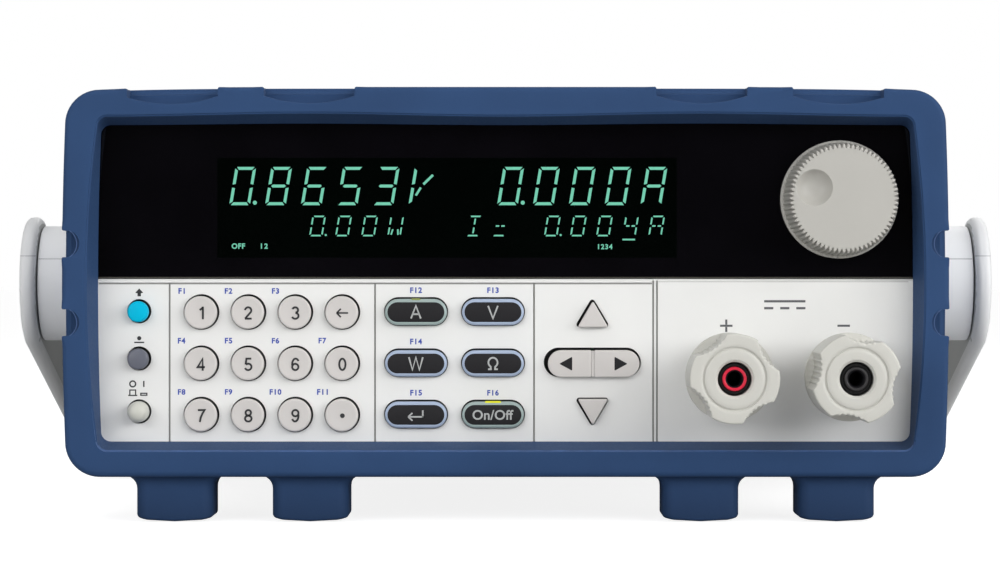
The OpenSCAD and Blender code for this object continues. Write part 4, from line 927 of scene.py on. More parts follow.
def long_key(node, material, draw):
    """A stadium key: tinted clear rim and a dark insert that carries the mark."""
    x, z = middle(node)
    y0 = depths(node)[0]
    face = y0 - INSERT_PROUD
    bm = bmesh.new()
    key_back(bm, node, stadium(x, z, *size(node)), x)
    z -= KEY_DROP
    slab(bm, stadium(x, z, MODE_W, MODE_H), y0, RIM_Y, edge=MODE_EDGE, steps=5, stop=KEY_SHADE_FROM)
    key_piece(node, bm, material, "_rim")
    bm = bmesh.new()
    slab(bm, stadium(x, z, INSERT_W, INSERT_H), face, y0 + INSERT_DEEP, edge=0.2)
    piece(node + "_insert", bm, "insert_black", node)
    legend(node + "_print", node, "ink_pale", lambda bm: draw(bm, x, z, face))


def unit_mark(text):
    return lambda bm, x, z, y: glyph(bm, text, x, z, UNIT_WIDE, y)


def return_mark(bm, x, z, y):
    """A return arrow."""
    stroke(bm, x - 1.7, z - 0.5, x + 2.0, z - 0.5, RETURN_WIDE, y)
    stroke(bm, x + 1.8, z - 0.7, x + 1.8, z + 1.2, RETURN_WIDE, y)
    for way in (-1, 1):
        stroke(bm, x - 2.0, z - 0.5, x - 0.9, z - 0.5 + way * 1.0, RETURN_WIDE, y)


def load_mark(bm, x, z, y):
    lettering(bm, "On/Off", x, z, 2.6, y, 0.016, 1.02)


def mode_keys():
    long_key("mode_key_current", "lit_plastic", unit_mark("A"))
    long_key("mode_key_voltage", "mode_plastic", unit_mark("V"))
    long_key("mode_key_power", "mode_plastic", unit_mark("W"))
    long_key("mode_key_resistance", "mode_plastic", unit_mark("Ω"))
    long_key("enter_key", "mode_plastic", return_mark)
    long_key("load_key", "lit_plastic", load_mark)
    for node, wide, material in LAMPS:
        x, z = middle(node)
        y0 = depths(node)[0]
        bm = bmesh.new()
        lens = stadium(x, z - KEY_DROP + MODE_H / 2 - LAMP_DROP, wide, LAMP_H)
        slab(bm, lens, y0 + 0.1, y0 + 0.6, edge=0.15)
        piece(node + "_lamp", bm, material, node)


def rounded_box(x, z, half_w, half_h, r):
    """A rectangle with rounded corners."""
    signs = ((-1, -1), (1, -1), (1, 1), (-1, 1))
    return rounded([(x + a * half_w, z + b * half_h, r) for a, b in signs], closed=True)


def triangle(x, z, w, h, r, way):
    corners = [(x - w / 2, z - way * h / 2, r), (x + w / 2, z - way * h / 2, r), (x, z + way * h / 2, r)]
    return rounded(corners if way > 0 else corners[::-1], steps=6, closed=True)


def arrow_keys():
    """The up and down keys, the two halves of the rocker and the rib between them."""
    for node, way in (("arrow_up_key", 1), ("arrow_down_key", -1)):
        x, z = middle(node)
        w, h = size(node)
        bm = bmesh.new()
        key_back(bm, node, rounded_box(x, z, w / 2, h / 2, FLANGE_R), x)
        cap = triangle(x + KEY_DROP, z - TRIANGLE_SAG, TRIANGLE_W, TRIANGLE_H, TRIANGLE_R, way)
        slab(bm, cap, depths(node)[0], RIM_Y, edge=ARROW_EDGE, stop=KEY_SHADE_FROM)
        key_piece(node, bm, "key_plastic")
    for way, side in SIDES:
        rocker("arrow_%s_key" % side, way)
    x = (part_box("arrow_left_key")[1].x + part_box("arrow_right_key")[0].x) / 2 / MM + ROCKER_LEAN / 3
    z = middle("arrow_left_key")[1] - ROCKER_SAG
    rib = bar(x, z - ROCKER_H / 2 + SPLIT_SHORT, x, z + ROCKER_H / 2 - SPLIT_SHORT, SPLIT_WIDE)[::-1]
    bm = bmesh.new()
    slab(bm, rib, depths("arrow_left_key")[0] + SPLIT_SINK, RIM_Y + RIM_T, edge=0.1)
    piece("arrow_split_rib", bm, "key_plastic", "chassis")


def rocker(node, way):
    """Half of the long left and right key, with its black triangle."""
    lo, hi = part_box(node)
    z = middle(node)[1]
    near = (lo.x if way > 0 else hi.x) / MM + ROCKER_LEAN / 3
    far = (hi.x if way > 0 else lo.x) / MM - way * (FLANGE + ROCKER_PLAY) + ROCKER_LEAN

    def half(grow):
        hub = far - way * ROCKER_H / 2
        r = ROCKER_H / 2 + grow
        turn = [Vector((hub + way * r * cos(a), z + r * sin(a))) for a in half_turn(16)]
        top, low = z + ROCKER_H / 2 + grow, z - ROCKER_H / 2 - grow
        inner = rounded([(near + way * 3, top, 0), (near, top, ROCKER_R),
                         (near, low, ROCKER_R), (near + way * 3, low, 0)])
        outline = turn + inner[1:-1]
        return outline if way > 0 else outline[::-1]

    y0 = depths(node)[0]
    bm = bmesh.new()
    key_back(bm, node, half(FLANGE), (near + far) / 2)
    z -= ROCKER_SAG
    slab(bm, half(0), y0, RIM_Y, edge=ARROW_EDGE, stop=KEY_SHADE_FROM)
    key_piece(node, bm, "key_plastic")
    x = (near + far) / 2 + way * 1.1
    w, h, r = POINTER
    corners = [(x - way * w, z - h, r), (x + way * w, z, r), (x - way * w, z + h, r)]
    outline = rounded(corners if way > 0 else corners[::-1], closed=True)
    legend(node + "_print", node, "insert_black", lambda bm: mark(bm, outline, y0))


def left_column():
    """The shift and local buttons and the domed power button."""
    turned_key("shift_button", BUTTON_R, "shift_cyan", BUTTON_EDGE, -BUTTON_CROWN)
    turned_key("local_button", BUTTON_R, "local_grey", BUTTON_EDGE, -BUTTON_CROWN)
    x, z = middle("power_button")
    y0, y1 = depths("power_button")
    bm = bmesh.new()
    dome = [(BUTTON_R * t, y0 + t ** 2 + 0.9 * t ** 8) for t in (k / 10 for k in range(11))]
    lathe(bm, x, z, dome + [(BUTTON_R, KEY_SHADE_FROM)] + turned_back(BUTTON_R, y1, POWER_STEM_R))
    key_piece("power_button", bm, "power_cream", sharp=50)


round_keys()
mode_keys()
arrow_keys()
left_column()


# Knob

KNOB_R = 15.4
KNOB_RIM_R = 14.9
KNOB_FRONT_R = 14.2
KNOB_FACE_R = 13.5
KNOB_FLAT_R = KNOB_FACE_R - 0.5
KNOB_BORE_R = 3.05
KNOB_SKIRT = 1.4
KNOB_TEETH = 72
TOOTH_STEPS = 8
TOOTH_DEPTH = 0.85
TOOTH_FLAT = 0.2
TOOTH_BACK = 0.3
TOOTH_FRONT = 0.7
VALLEY = 0.42
FACE_RINGS = 72
DIMPLE_R = 4.7
DIMPLE_DEPTH = 2.8
DIMPLE_OFF = 8.1
DIMPLE_ANGLE = radians(160)


def knob_section(front, back, skirt):
    """Rows of the knob from its back to its face: radius, depth, share of the teeth."""
    rows = [(KNOB_BORE_R, back, 0), (KNOB_R - 0.2, back, 0), (KNOB_R, back - 0.2, 0),
            (KNOB_R, skirt + 0.3, 0), (KNOB_R - 0.3, skirt, 0), (KNOB_RIM_R, skirt - 0.1, 0.4)]
    for t in (k / 8 for k in range(9)):
        r = KNOB_RIM_R + (KNOB_FRONT_R - KNOB_RIM_R) * t
        y = skirt - TOOTH_BACK + (front + TOOTH_FRONT - skirt + TOOTH_BACK) * t
        rows.append((r, y, 0.6 + 0.4 * t ** 4))
    rows += [(KNOB_FRONT_R - 0.12, front + 0.3, 1), (KNOB_FRONT_R - 0.35, front + 0.06, 1),
             (KNOB_FRONT_R - 0.5, front, 1), (KNOB_FACE_R, front, 0.45), (KNOB_FLAT_R, front, 0)]
    return rows + [(KNOB_FLAT_R * (1 - k / FACE_RINGS), front, 0) for k in range(1, FACE_RINGS)]


def knob():
    """A serrated knob with a finger dimple, as one polar grid; the valleys between its teeth are painted
    darker, as shade.
    """
    x0, z0 = middle("rotary_knob")
    front, back = depths("rotary_knob")
    skirt = back - KNOB_SKIRT
    steps = KNOB_TEETH * TOOTH_STEPS
    dimple = Vector((cos(DIMPLE_ANGLE), sin(DIMPLE_ANGLE))) * DIMPLE_OFF
    rings = []
    for r, y, bite in knob_section(front, back, skirt):
        ring = []
        for k, a in enumerate(full_turn(steps)):
            part = KNOB_TEETH * k / steps % 1
            valley = max(0.0, (1 - abs(2 * part - 1)) * (1 + TOOTH_FLAT) - TOOTH_FLAT)
            p = Vector((cos(a), sin(a))) * (r - bite * TOOTH_DEPTH * valley)
            gap = (p - dimple).length / DIMPLE_R
            sink = DIMPLE_DEPTH * (1 - gap ** 3) if y == front and gap < 1 else 0
            ring.append(spot(x0 + p.x, y + sink, z0 + p.y))
        rings.append(ring)
    bm = bmesh.new()
    loft(bm, rings + [[spot(x0, front, z0)]])
    cap = piece("rotary_knob_cap", bm, "knob_plastic", "rotary_knob", replaces=("rotary_knob",),
                sharp=30)
    axis = spot(x0, skirt, z0)

    # Painted shade: faces in the valleys between the teeth take the darker material
    def in_valley(face):
        off = face.center - axis
        part = atan2(off.z, off.x) / 2 / pi * KNOB_TEETH % 1
        toothed = hypot(off.x, off.z) > (KNOB_FACE_R - 0.3) * MM and face.center.y < axis.y
        return toothed and abs(2 * part - 1) < VALLEY

    tint(cap.data, "knob_painted_shade", in_valley)


knob()


# Binding posts

NUT_R = 11.4
NUT_EDGE = 0.5
NUT_FLANGE = 3
NUT_STEPS = 720
NUT_STEP = 2.5
SCALLOP_R = 9.9
SCALLOP_DEPTH = 2.2
RIB_R = 0.36
RIB_RISE = 0.65
RIB_STEP = 8.5
FACE_RING_OUT = 8.13
FACE_RING_IN = 7.57
FACE_RING_DEEP = 0.4
NUT_HOLE_R = 4.3
NUT_HOLE_EDGE = 0.6
SLEEVE_R = 3.07
COLLAR_R = 4.0
COLLAR_BACK = 0.9
SOCKET_R = 2.0
SOCKET_STEPS = 64
RING_R = 2.28
LINER_T = 0.13
LINER_DEEP = 1.2
LINER_FLOOR = 0.3
LINER_CORE = 0.01
SLACK = 0.02


def nut_radius(a, turn):
    """Radius of a nut's lobed outline at an angle, with ribs in its scallops."""
    far = NUT_R - SCALLOP_DEPTH + SCALLOP_R
    off = (a - radians(turn) + pi / 4) % (pi / 2) - pi / 4
    under = SCALLOP_R ** 2 - (far * sin(off)) ** 2
    r = NUT_R
    if under > 0:
        r = min(NUT_R, far * cos(off) - sqrt(under))
    for k in (-2, -1, 0, 1, 2):
        b = radians(k * RIB_STEP)
        rib = Vector((far - SCALLOP_R * cos(b), SCALLOP_R * sin(b)))
        miss = rib.length * sin(off - rib.angle_signed(Vector((1, 0))))
        if abs(miss) < RIB_R:
            r = max(r, rib.length + RIB_RISE * sqrt(RIB_R ** 2 - miss ** 2))
    return r


def nut(node, turn):
    """A lobed screw nut: ribbed scallops that run out at a round flange, ring line and chamfered hole."""
    x0, z0 = middle(node)
    front, back = depths(node)
    flange = back - NUT_FLANGE
    # Each row: depth, share of the lobed outline, inset from it
    rows = [(back, 0, 0.6), (back - 0.25, 0, 0.2), (back - 0.6, 0, 0), (flange + 0.15, 0, 0),
            (flange, 0, 0.12), (flange - 0.1, 0.6, 0.05), (flange - 0.3, 0.92, 0), (flange - 0.8, 1, 0)]
    rows += [(front + NUT_EDGE + k * NUT_STEP, 1, 0) for k in range(6, -1, -1)]
    rows += [(front + setback, 1, gap) for gap, setback in list(edge_arc(NUT_EDGE, 6))[1:]]
    # The face: radius and sink, over the ring line and into the hole
    face = [(9.0, 0), (FACE_RING_OUT + 0.1, 0), (FACE_RING_OUT, 0.06), (FACE_RING_OUT - 0.08, FACE_RING_DEEP),
            (FACE_RING_IN + 0.08, FACE_RING_DEEP), (FACE_RING_IN, 0.06), (FACE_RING_IN - 0.1, 0), (6.4, 0)]
    face += rounded([(6.0, 0, 0), (NUT_HOLE_R + NUT_HOLE_EDGE, 0, 0.25), (NUT_HOLE_R, NUT_HOLE_EDGE, 0.25),
                     (NUT_HOLE_R, back - front, 0)], steps=3)
    angles = full_turn(NUT_STEPS)
    lobes = [nut_radius(a, turn) for a in angles]

    def ring(y, radii):
        return [spot(x0 + r * cos(a), y, z0 + r * sin(a)) for a, r in zip(angles, radii)]

    rings = [ring(y, [NUT_R + (lobe - NUT_R) * share - gap for lobe in lobes]) for y, share, gap in rows]
    rings += [ring(front + sink, [min(r, lobe - NUT_EDGE - SLACK) for lobe in lobes]) for r, sink in face]
    bm = bmesh.new()
    loft(bm, rings, loop=True)
    piece(node + "_body", bm, "terminal_plastic", node, replaces=(node,), sharp=45)


def socket(node, material, nut_node):
    """The coloured socket ring with rounded lips, the black collar round it and the dark liner in it; the
    ring's inner wall and the liner are painted shade in the hole.
    """
    x, z = middle(node)
    y0, y1 = depths(node)
    bm = bmesh.new()
    wall = rounded([(SOCKET_R, y1, 0), (SOCKET_R, y0 + 0.6, 0.1), (RING_R, y0 + 0.3, 0.05),
                    (RING_R, y0, 0.25), (SLEEVE_R, y0, 0.3), (SLEEVE_R, y1, 0)], steps=5)
    lathe(bm, x, z, wall, SOCKET_STEPS, loop=True)
    ring = piece(node + "_ring", bm, material, "chassis", replaces=(node,))
    axis = spot(x, 0, z)

    # Painted shade: the ring's faces inside its lip take black
    def inside(face):
        off = face.center - axis
        return hypot(off.x, off.z) < (RING_R - SLACK) * MM

    tint(ring.data, "insert_black", inside)
    post = depths("terminal_posts")[0]
    lip = y0 + COLLAR_BACK
    bm = bmesh.new()
    collar = rounded([(SLEEVE_R + SLACK, post, 0), (SLEEVE_R + SLACK, lip, 0.1), (COLLAR_R, lip, 0.2),
                      (COLLAR_R, post, 0)], steps=3)
    lathe(bm, x, z, collar, SOCKET_STEPS, loop=True)
    piece(node + "_collar", bm, "collar_black", "chassis")
    # The liner is a dark sheet in the socket's hole, painted shade
    low = depths(nut_node)[1] - LINER_DEEP
    outer = SOCKET_R - SLACK
    inner = SOCKET_R - SLACK - LINER_T
    bm = bmesh.new()
    liner = [(outer, y0 + 0.5), (outer, low), (LINER_CORE, low), (LINER_CORE, low - LINER_FLOOR),
             (inner, low - LINER_FLOOR), (inner, y0 + 0.8)]
    lathe(bm, x, z, liner, loop=True)
    piece(node + "_liner", bm, "insert_black", "chassis")


for charge, sleeve, angle in (("positive", "sleeve_red", 35), ("negative", "sleeve_black", 80)):
    nut("terminal_nut_" + charge, angle)
    socket("socket_sleeve_" + charge, sleeve, "terminal_nut_" + charge)


# Fluorescent display

SLANT = tan(radians(9.5))
SEGMENT_GAP = 0.4
THIN = 0.6
FIELD = (-75.4, 44.8, 6.7, 32.8)
SEGMENTS = {"0": "abcdef", "3": "abgcd", "4": "fgbc", "5": "afgcd", "6": "afgedc", "8": "abcdefg",
            "A": "abcefg", "V": "fek", "W": "febcm", "I": "adl", "=": "gd"}
# Pitch, width, height and stroke of the digits
LARGE = (9.38, 5.4, 10.0, 0.76)
SMALL = (6.82, 3.5, 5.4, 0.39)
READOUTS = (("0.8653V", -72.3, 20.45, LARGE), ("0.000A", -2.2, 20.45, LARGE),
            ("0.00W", -51.4, 12.3, SMALL), ("I= 0.004A", -10.4, 12.3, SMALL))
CURSOR = (30.6, 11.45, 33.9, 11.45, 0.42)
# Text, place, height and spread of the small flags
FLAGS = (("OFF", -69.9, 9.74, 1.45, 1.1), ("12", -63.1, 9.74, 1.4, 1.3), ("1234", 26.1, 9.58, 1.35, 1.2))
FLAG_BOLD = 0.03
# Width of the painted highlight along the window's lower edge
EDGE_HIGHLIGHT_WIDE = 0.4


def segment(letter, w, h, t):
    """Outlines of one display segment in a cell of width w and height h."""
    gap = SEGMENT_GAP
    half = h / 2
    upper = [(0, h - gap), (0, half + gap), (t, half + t / 2 + gap / 2), (t, h - t - gap / 2)]
    top = [(gap, h), (t + gap / 2, h - t), (w - t - gap / 2, h - t), (w - gap, h)]
    bridge = [[(t / 2 + gap, half), (t + gap, half - t / 2), (w - t - gap, half - t / 2),
               (w - t / 2 - gap, half), (w - t - gap, half + t / 2), (t + gap, half + t / 2)]]
    if t < THIN:
        bridge = [bar(t + gap / 2, half, w / 2 - gap * 0.7, half, t),
                  bar(w / 2 + gap * 0.7, half, w - t - gap / 2, half, t)]
    shapes = {
        "a": [top],
        "b": [[(w - x, z) for x, z in upper]],
        "c": [[(w - x, h - z) for x, z in upper]],
        "d": [[(x, h - z) for x, z in top]],
        "e": [[(x, h - z) for x, z in upper]],
        "f": [upper],
        "g": bridge,
        "k": [bar(w / 2 + 0.3, half + 0.45, w - 0.3, h * 0.79, t * 0.9),
              bar(w / 2 - 0.25, half - 0.4, w * 0.28, h * 0.25, t * 0.8)],
        "l": [bar(w / 2, half + gap, w / 2, h - t - gap, t), bar(w / 2, t + gap, w / 2, half - gap, t)],
        "m": [bar(w * 0.26, h * 0.08, w * 0.33, h * 0.34, t), bar(w * 0.78, h * 0.07, w * 0.7, h * 0.34, t)],
    }
    for shape in shapes[letter]:
        points = [Vector(p) for p in shape]
        area = sum(p.x * q.y - p.y * q.x for p, q in zip(points, points[1:] + points[:1]))
        yield points if area > 0 else points[::-1]


def readout(bm, text, x, z, pitch, w, h, t):
    """A row of slanted segment digits; a dot joins the digit before it."""
    for letter in text:
        if letter == ".":
            dot = circle(x - pitch + w + SEGMENT_GAP + t * 1.2, z + t * 0.85, t * 0.7, 18)
            mark(bm, dot, WINDOW_Y)
            continue
        for name in SEGMENTS.get(letter, ""):
            for outline in segment(name, w, h, t):
                mark(bm, [Vector((x + p.x + p.y * SLANT, z + p.y)) for p in outline], WINDOW_Y)
        x += pitch


def display():
    """The dark field, its digits and flags, and the paler line at the window's lower edge, a painted
    highlight.
    """

    def digits(bm):
        for text, x, z, cell in READOUTS:
            readout(bm, text, x, z, *cell)
        stroke(bm, *CURSOR, WINDOW_Y)
        for text, x, z, height, spread in FLAGS:
            lettering(bm, text, x, z, height, WINDOW_Y, FLAG_BOLD, spread)

    def field(bm):
        x0, x1, z0, z1 = FIELD
        stroke(bm, x0, (z0 + z1) / 2, x1, (z0 + z1) / 2, z1 - z0, WINDOW_Y, INK / 4)

    # Painted highlight on the window's lower edge
    def edge_highlight_strip(bm):
        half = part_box("display_window")[1].x / MM - 0.2
        stroke(bm, -half, WINDOW_LOW + 0.25, half, WINDOW_LOW + 0.25, EDGE_HIGHLIGHT_WIDE, WINDOW_Y, INK / 4)

    legend("display_field", "chassis", "field_black", field)
    legend("window_edge_highlight", "chassis", "window_edge_highlight", edge_highlight_strip)
    legend("display_digits", "chassis", "phosphor", digits)


display()


# Printed marks and moulded lines of the front panel

GROOVES = (-87.8, -34.1, 7.45)
INPUT_GROOVES = (38.6, 39.6)
GROOVE_WIDE = 0.36
GROOVE_DEPTH = 0.45
GROOVE_FLOOR = 0.12
GROOVE_DROP = 1.15
# How far each row's function names stand from the keys, across and up
FUNCTIONS = (
    (-5.2, 5.5, ("key_1", "key_2", "key_3")),
    (-5.2, 5.9, ("key_4", "key_5", "key_6", "key_0", "key_7", "key_8", "key_9", "key_point")),
    (0, 5.6, ("mode_key_current", "mode_key_voltage", "mode_key_power", "enter_key", "load_key")),
)
FUNCTION_H = 1.5
FUNCTION_STYLE = (0.035, 1.15)
SYMBOL_WIDE = 0.32
SIGN_WIDE = 0.55
SIGN_HALF = 1.63
SIGN_UP = 13.0
DC_PLACE = (73.0, -5.6)
DC_WIDE = 0.6


def functions(bm):
    """Small numbered second functions."""
    number = 1
    for across, up, nodes in FUNCTIONS:
        for node in nodes:
            x, z = middle(node)
            lettering(bm, "F%d" % number, x + across, z + up, FUNCTION_H, FACE_Y, *FUNCTION_STYLE)
            number += 1


def ring_mark(bm, x, z, r, wide, y):
    inner, outer = (circle(x, z, r + way * wide / 2, 24) for way in (-1, 1))
    loft(bm, [at(inner, y), at(inner, y - INK), at(outer, y - INK), at(outer, y)], loop=True)


def symbols(bm):
    """An arrow for shift, a dot over a bar for local, on and off signs and button heights for power."""
    y = FACE_Y
    x, z = middle("shift_button")
    mark(bm, triangle(x, z + 5.35, 2.2, 1.2, 0.1, 1), y)
    stroke(bm, x, z + 3.9, x, z + 4.9, 0.9, y)
    x, z = middle("local_button")
    stroke(bm, x - 1.3, z + 4.2, x + 1.3, z + 4.2, 0.35, y)
    mark(bm, circle(x, z + 5.3, 0.55, 20), y)
    x, z = middle("power_button")
    stroke(bm, x + 1.2, z + 6.4, x + 1.2, z + 8.0, 0.36, y)
    ring_mark(bm, x - 1.7, z + 7.2, 0.76, 0.38, y)
    released = [(-2.45, 4.2), (-2.45, 5.6), (-0.95, 5.6), (-0.95, 4.2)]
    ribbon(bm, [Vector((x + a, z + b)) for a, b in released], SYMBOL_WIDE, y)
    stroke(bm, x - 2.9, z + 4.2, x - 0.5, z + 4.2, SYMBOL_WIDE, y)
    pressed = [(0.4, 4.25), (0.4, 4.75), (2.0, 4.75), (2.0, 4.25)]
    ribbon(bm, [Vector((x + a, z + b)) for a, b in pressed], SYMBOL_WIDE, y, closed=True)


def terminal_signs(bm):
    """The dc sign, and a minus and a plus over the terminals."""
    y = FACE_Y
    x, z = DC_PLACE
    stroke(bm, x - 5.4, z + 0.9, x + 5.4, z + 0.9, DC_WIDE, y)
    for k in (-1, 0, 1):
        stroke(bm, x + k * 4.2 - 1.2, z - 0.9, x + k * 4.2 + 1.2, z - 0.9, DC_WIDE, y)
    for charge in ("negative", "positive"):
        x, z = middle("terminal_nut_" + charge)
        stroke(bm, x - SIGN_HALF, z + SIGN_UP, x + SIGN_HALF, z + SIGN_UP, SIGN_WIDE, y)
    for low, high in ((11.37, 12.7), (13.3, 14.63)):
        stroke(bm, x, z + low, x, z + high, SIGN_WIDE, y)


def input_line(bm):
    """A fine line along the top of the input field."""
    z = WINDOW_LOW - 0.8
    stroke(bm, INPUT_GROOVES[1] + 0.4, z, LIP_HALF_W - 0.4, z, 0.2, FACE_Y)


def groove_floors(bm):
    """Painted shade on the floors of the lines moulded in the panel."""
    y = FACE_Y + GROOVE_DEPTH
    low = heights("front_panel")[0] + 1
    line = WINDOW_LOW - 0.1 - GROOVE_DROP
    ends = [(x, line) for x in GROOVES] + [(x, line + GROOVE_DROP - 0.4) for x in INPUT_GROOVES]
    for x, end in ends:
        mark(bm, bar(x, low, x, end, GROOVE_WIDE)[::-1], y, GROOVE_FLOOR)
    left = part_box("front_panel")[0].x / MM + 1
    stroke(bm, left, line, INPUT_GROOVES[0] - 0.3, line, 0.4, y, GROOVE_FLOOR)


legend("input_line", "chassis", "line_grey", input_line)
legend("panel_functions", "chassis", "ink_blue", functions)
legend("panel_symbols", "chassis", "ink_dark", symbols)
legend("terminal_signs", "chassis", "ink_grey", terminal_signs)
legend("panel_grooves", "chassis", "groove_painted_shade", groove_floors)


# Finish of the CAD nodes that show as they are

FINISHES = {
    "case_paint": ("chassis_tray", "top_cover"),
    "panel_plastic": ("front_panel",),
    "window_black": ("display_window",),
    "display_glass": ("display_module",),
    "board_green": ("front_board", "circuit_boards"),
    "part_black": ("key_switches", "power_switch", "power_transistors", "fan_frames", "fan_rotor_left",
                   "fan_rotor_right"),
    "bright_steel": ("encoder_shaft",),
    "core_steel": ("mains_transformer", "rotary_encoder"),
    "terminal_plastic": ("terminal_insulators",),
    "post_brass": ("terminal_posts", "terminal_washer_positive", "terminal_washer_negative"),
    "bar_copper": ("bus_bars",),
    "sink_aluminium": ("heatsinks",),
    "connector_black": ("ac_inlet", "rear_connectors"),
    "hub_plastic": ("handle_hubs",),
    "power_cream": ("power_push_rod",),
}
for finish_name, members in FINISHES.items():
    for member in members:
        NODES[member].data.materials.clear()
        NODES[member].data.materials.append(MAT[finish_name])


def soften(node, width, angle=40, steps=3):
    """Rounds the edges of a CAD node as it is shown."""
    weld = NODES[node].modifiers.new("weld", "WELD")
    weld.merge_threshold = 0.01 * MM
    flat = NODES[node].modifiers.new("flat", "DECIMATE")
    flat.decimate_type = "DISSOLVE"
    flat.delimit = {"NORMAL", "MATERIAL"}
    flat.angle_limit = radians(0.5)
    bevel = NODES[node].modifiers.new("soft", "BEVEL")
    bevel.width = width * MM
    bevel.segments = steps
    bevel.limit_method = "ANGLE"
    bevel.angle_limit = radians(angle)
    bevel.use_clamp_overlap = False
    bevel.harden_normals = True


soften("handle_hubs", 0.4)


# Carry handle, folded back

AXLE_Y = (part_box("handle_hubs")[0].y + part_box("handle_hubs")[1].y) / 2
AXLE = (AXLE_Y - FRONT) / MM
ARM_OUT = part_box("carry_handle")[1].x / MM
ARM_T = 4.4
ARM_FLAT = 0.35
ARM_ROUND = ARM_T / 2 - ARM_FLAT
ARM_HALF = 10
ARM_STRAIGHT = 100
DISC_R = 18.4
HANDLE_LEN = 152
HANDLE_R = 16
HANDLE_SHARP = 40
GRIP_W = 24
GRIP_T = 12.5
NECK = (16, 4)
GRIP_IN = HANDLE_LEN - GRIP_W / 2
GRIP_OUT = HANDLE_LEN + GRIP_W / 2
PIVOT_R = 6.06
FOLD = (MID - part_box("carry_handle")[0].z) / MM - GRIP_T / 2
TUCK = asin(FOLD / (HANDLE_LEN + (GRIP_W - GRIP_T) / 2))
DISC_SEAM_UP = 7.5
HUB_SEAM_UP = 6.7
HUB_SEAM = (115, 128.2)
SEAM_HALF = 0.09


def handle_spot(x, u, v):
    """World place of a point of the handle: u runs along the arm from the pivot, v across it."""
    return Vector((x * MM, AXLE_Y + (u * cos(TUCK) + v * sin(TUCK)) * MM,
                   MID + (v * cos(TUCK) - u * sin(TUCK)) * MM))


def arm_height(u):
    """Half the height of the handle seen from the side: disc, tapering arm, neck, grip."""
    lean = asin((DISC_R - ARM_HALF) / HANDLE_LEN)
    marks = [(DISC_R * sin(lean), DISC_R * cos(lean)), (GRIP_IN - NECK[0], ARM_HALF),
             (GRIP_IN + NECK[1], GRIP_T / 2)]
    if u < marks[0][0]:
        return sqrt(max(0.0, DISC_R ** 2 - u ** 2))
    for (u0, h0), (u1, h1) in zip(marks, marks[1:]):
        if u < u1:
            return h0 + (h1 - h0) * (u - u0) / (u1 - u0)
    return GRIP_T / 2


def handle_plan():
    """Stations from a disc to the grip: inner and outer plan points (across, along) and thickness."""
    arm_in = ARM_OUT - ARM_T
    small = HANDLE_R - ARM_T
    along = [-DISC_R * cos(radians(5 * k)) for k in range(1, 19)]
    along += [ARM_STRAIGHT * k / 8 for k in range(1, 9)]
    stations = [((arm_in, u), (ARM_OUT, u), ARM_T) for u in along]
    for k in range(1, 7):
        near = ARM_STRAIGHT + (GRIP_IN - small - ARM_STRAIGHT) * k / 6
        far = ARM_STRAIGHT + (GRIP_OUT - HANDLE_R - ARM_STRAIGHT) * k / 6
        stations.append(((arm_in, near), (ARM_OUT, far), ARM_T))
    hub = ARM_OUT - HANDLE_R
    for k in range(1, 13):
        a = pi / 2 * k / 12
        near = (hub + small * cos(a), GRIP_IN - small + small * sin(a))
        far = (hub + HANDLE_R * cos(a), GRIP_OUT - HANDLE_R + HANDLE_R * sin(a))
        stations.append((near, far, (far[0] - near[0]) * cos(a) + (far[1] - near[1]) * sin(a)))
    return stations


def handle_ring(near, far, thick, way, steps=20):
    """One section of the handle, its edges rounded as far as its thickness allows."""
    u = (near[1] + far[1]) / 2
    h = arm_height(u)
    r = min(thick / 2 - ARM_FLAT, GRIP_T / 2 - 0.05)
    halves = ([], [])
    for a in half_turn(steps):
        v = h * sin(a)
        gap = DISC_R - hypot(u, v) if u < 0 else h - abs(v)
        dip = r - sqrt(max(0.0, r * r - max(0.0, r - gap) ** 2))
        share = 1 - dip / (thick / 2)
        for half, sign in zip(halves, (1, -1)):
            x = (near[0] + far[0]) / 2 + sign * share * (far[0] - near[0]) / 2
            along = u + sign * share * (far[1] - near[1]) / 2
            half.append(handle_spot(way * x, along, v))
    return halves[0] + halves[1][::-1]


def handle():
    """The bail as one loft from disc to disc, bored for its pivots; its arms are rougher inside and painted
    darker there, as shade.
    """
    plan = handle_plan()
    bm = bmesh.new()
    loft(bm, [handle_ring(*stop, -1) for stop in plan] + [handle_ring(*stop, 1) for stop in plan[::-1]])
    bail = piece("carry_handle_bail", bm, "handle_plastic", "carry_handle", replaces=("carry_handle",),
                 sharp=HANDLE_SHARP)
    bore = bmesh.new()
    turns = [radians(7.5 * k) for k in range(48)]
    loft(bore, [[handle_spot(x, PIVOT_R * cos(a), PIVOT_R * sin(a)) for a in turns]
                for x in (-ARM_OUT - 5, ARM_OUT + 5)])

    # Painted shade on the inward faces of the arms
    def inner(face):
        x = face.center.x
        return abs(x) > 0.12 and face.normal.x * x < -0.97 * abs(x)

    tint(combine(bail, bore, "DIFFERENCE", "handle_plastic", HANDLE_SHARP), "handle_inner_shade", inner)


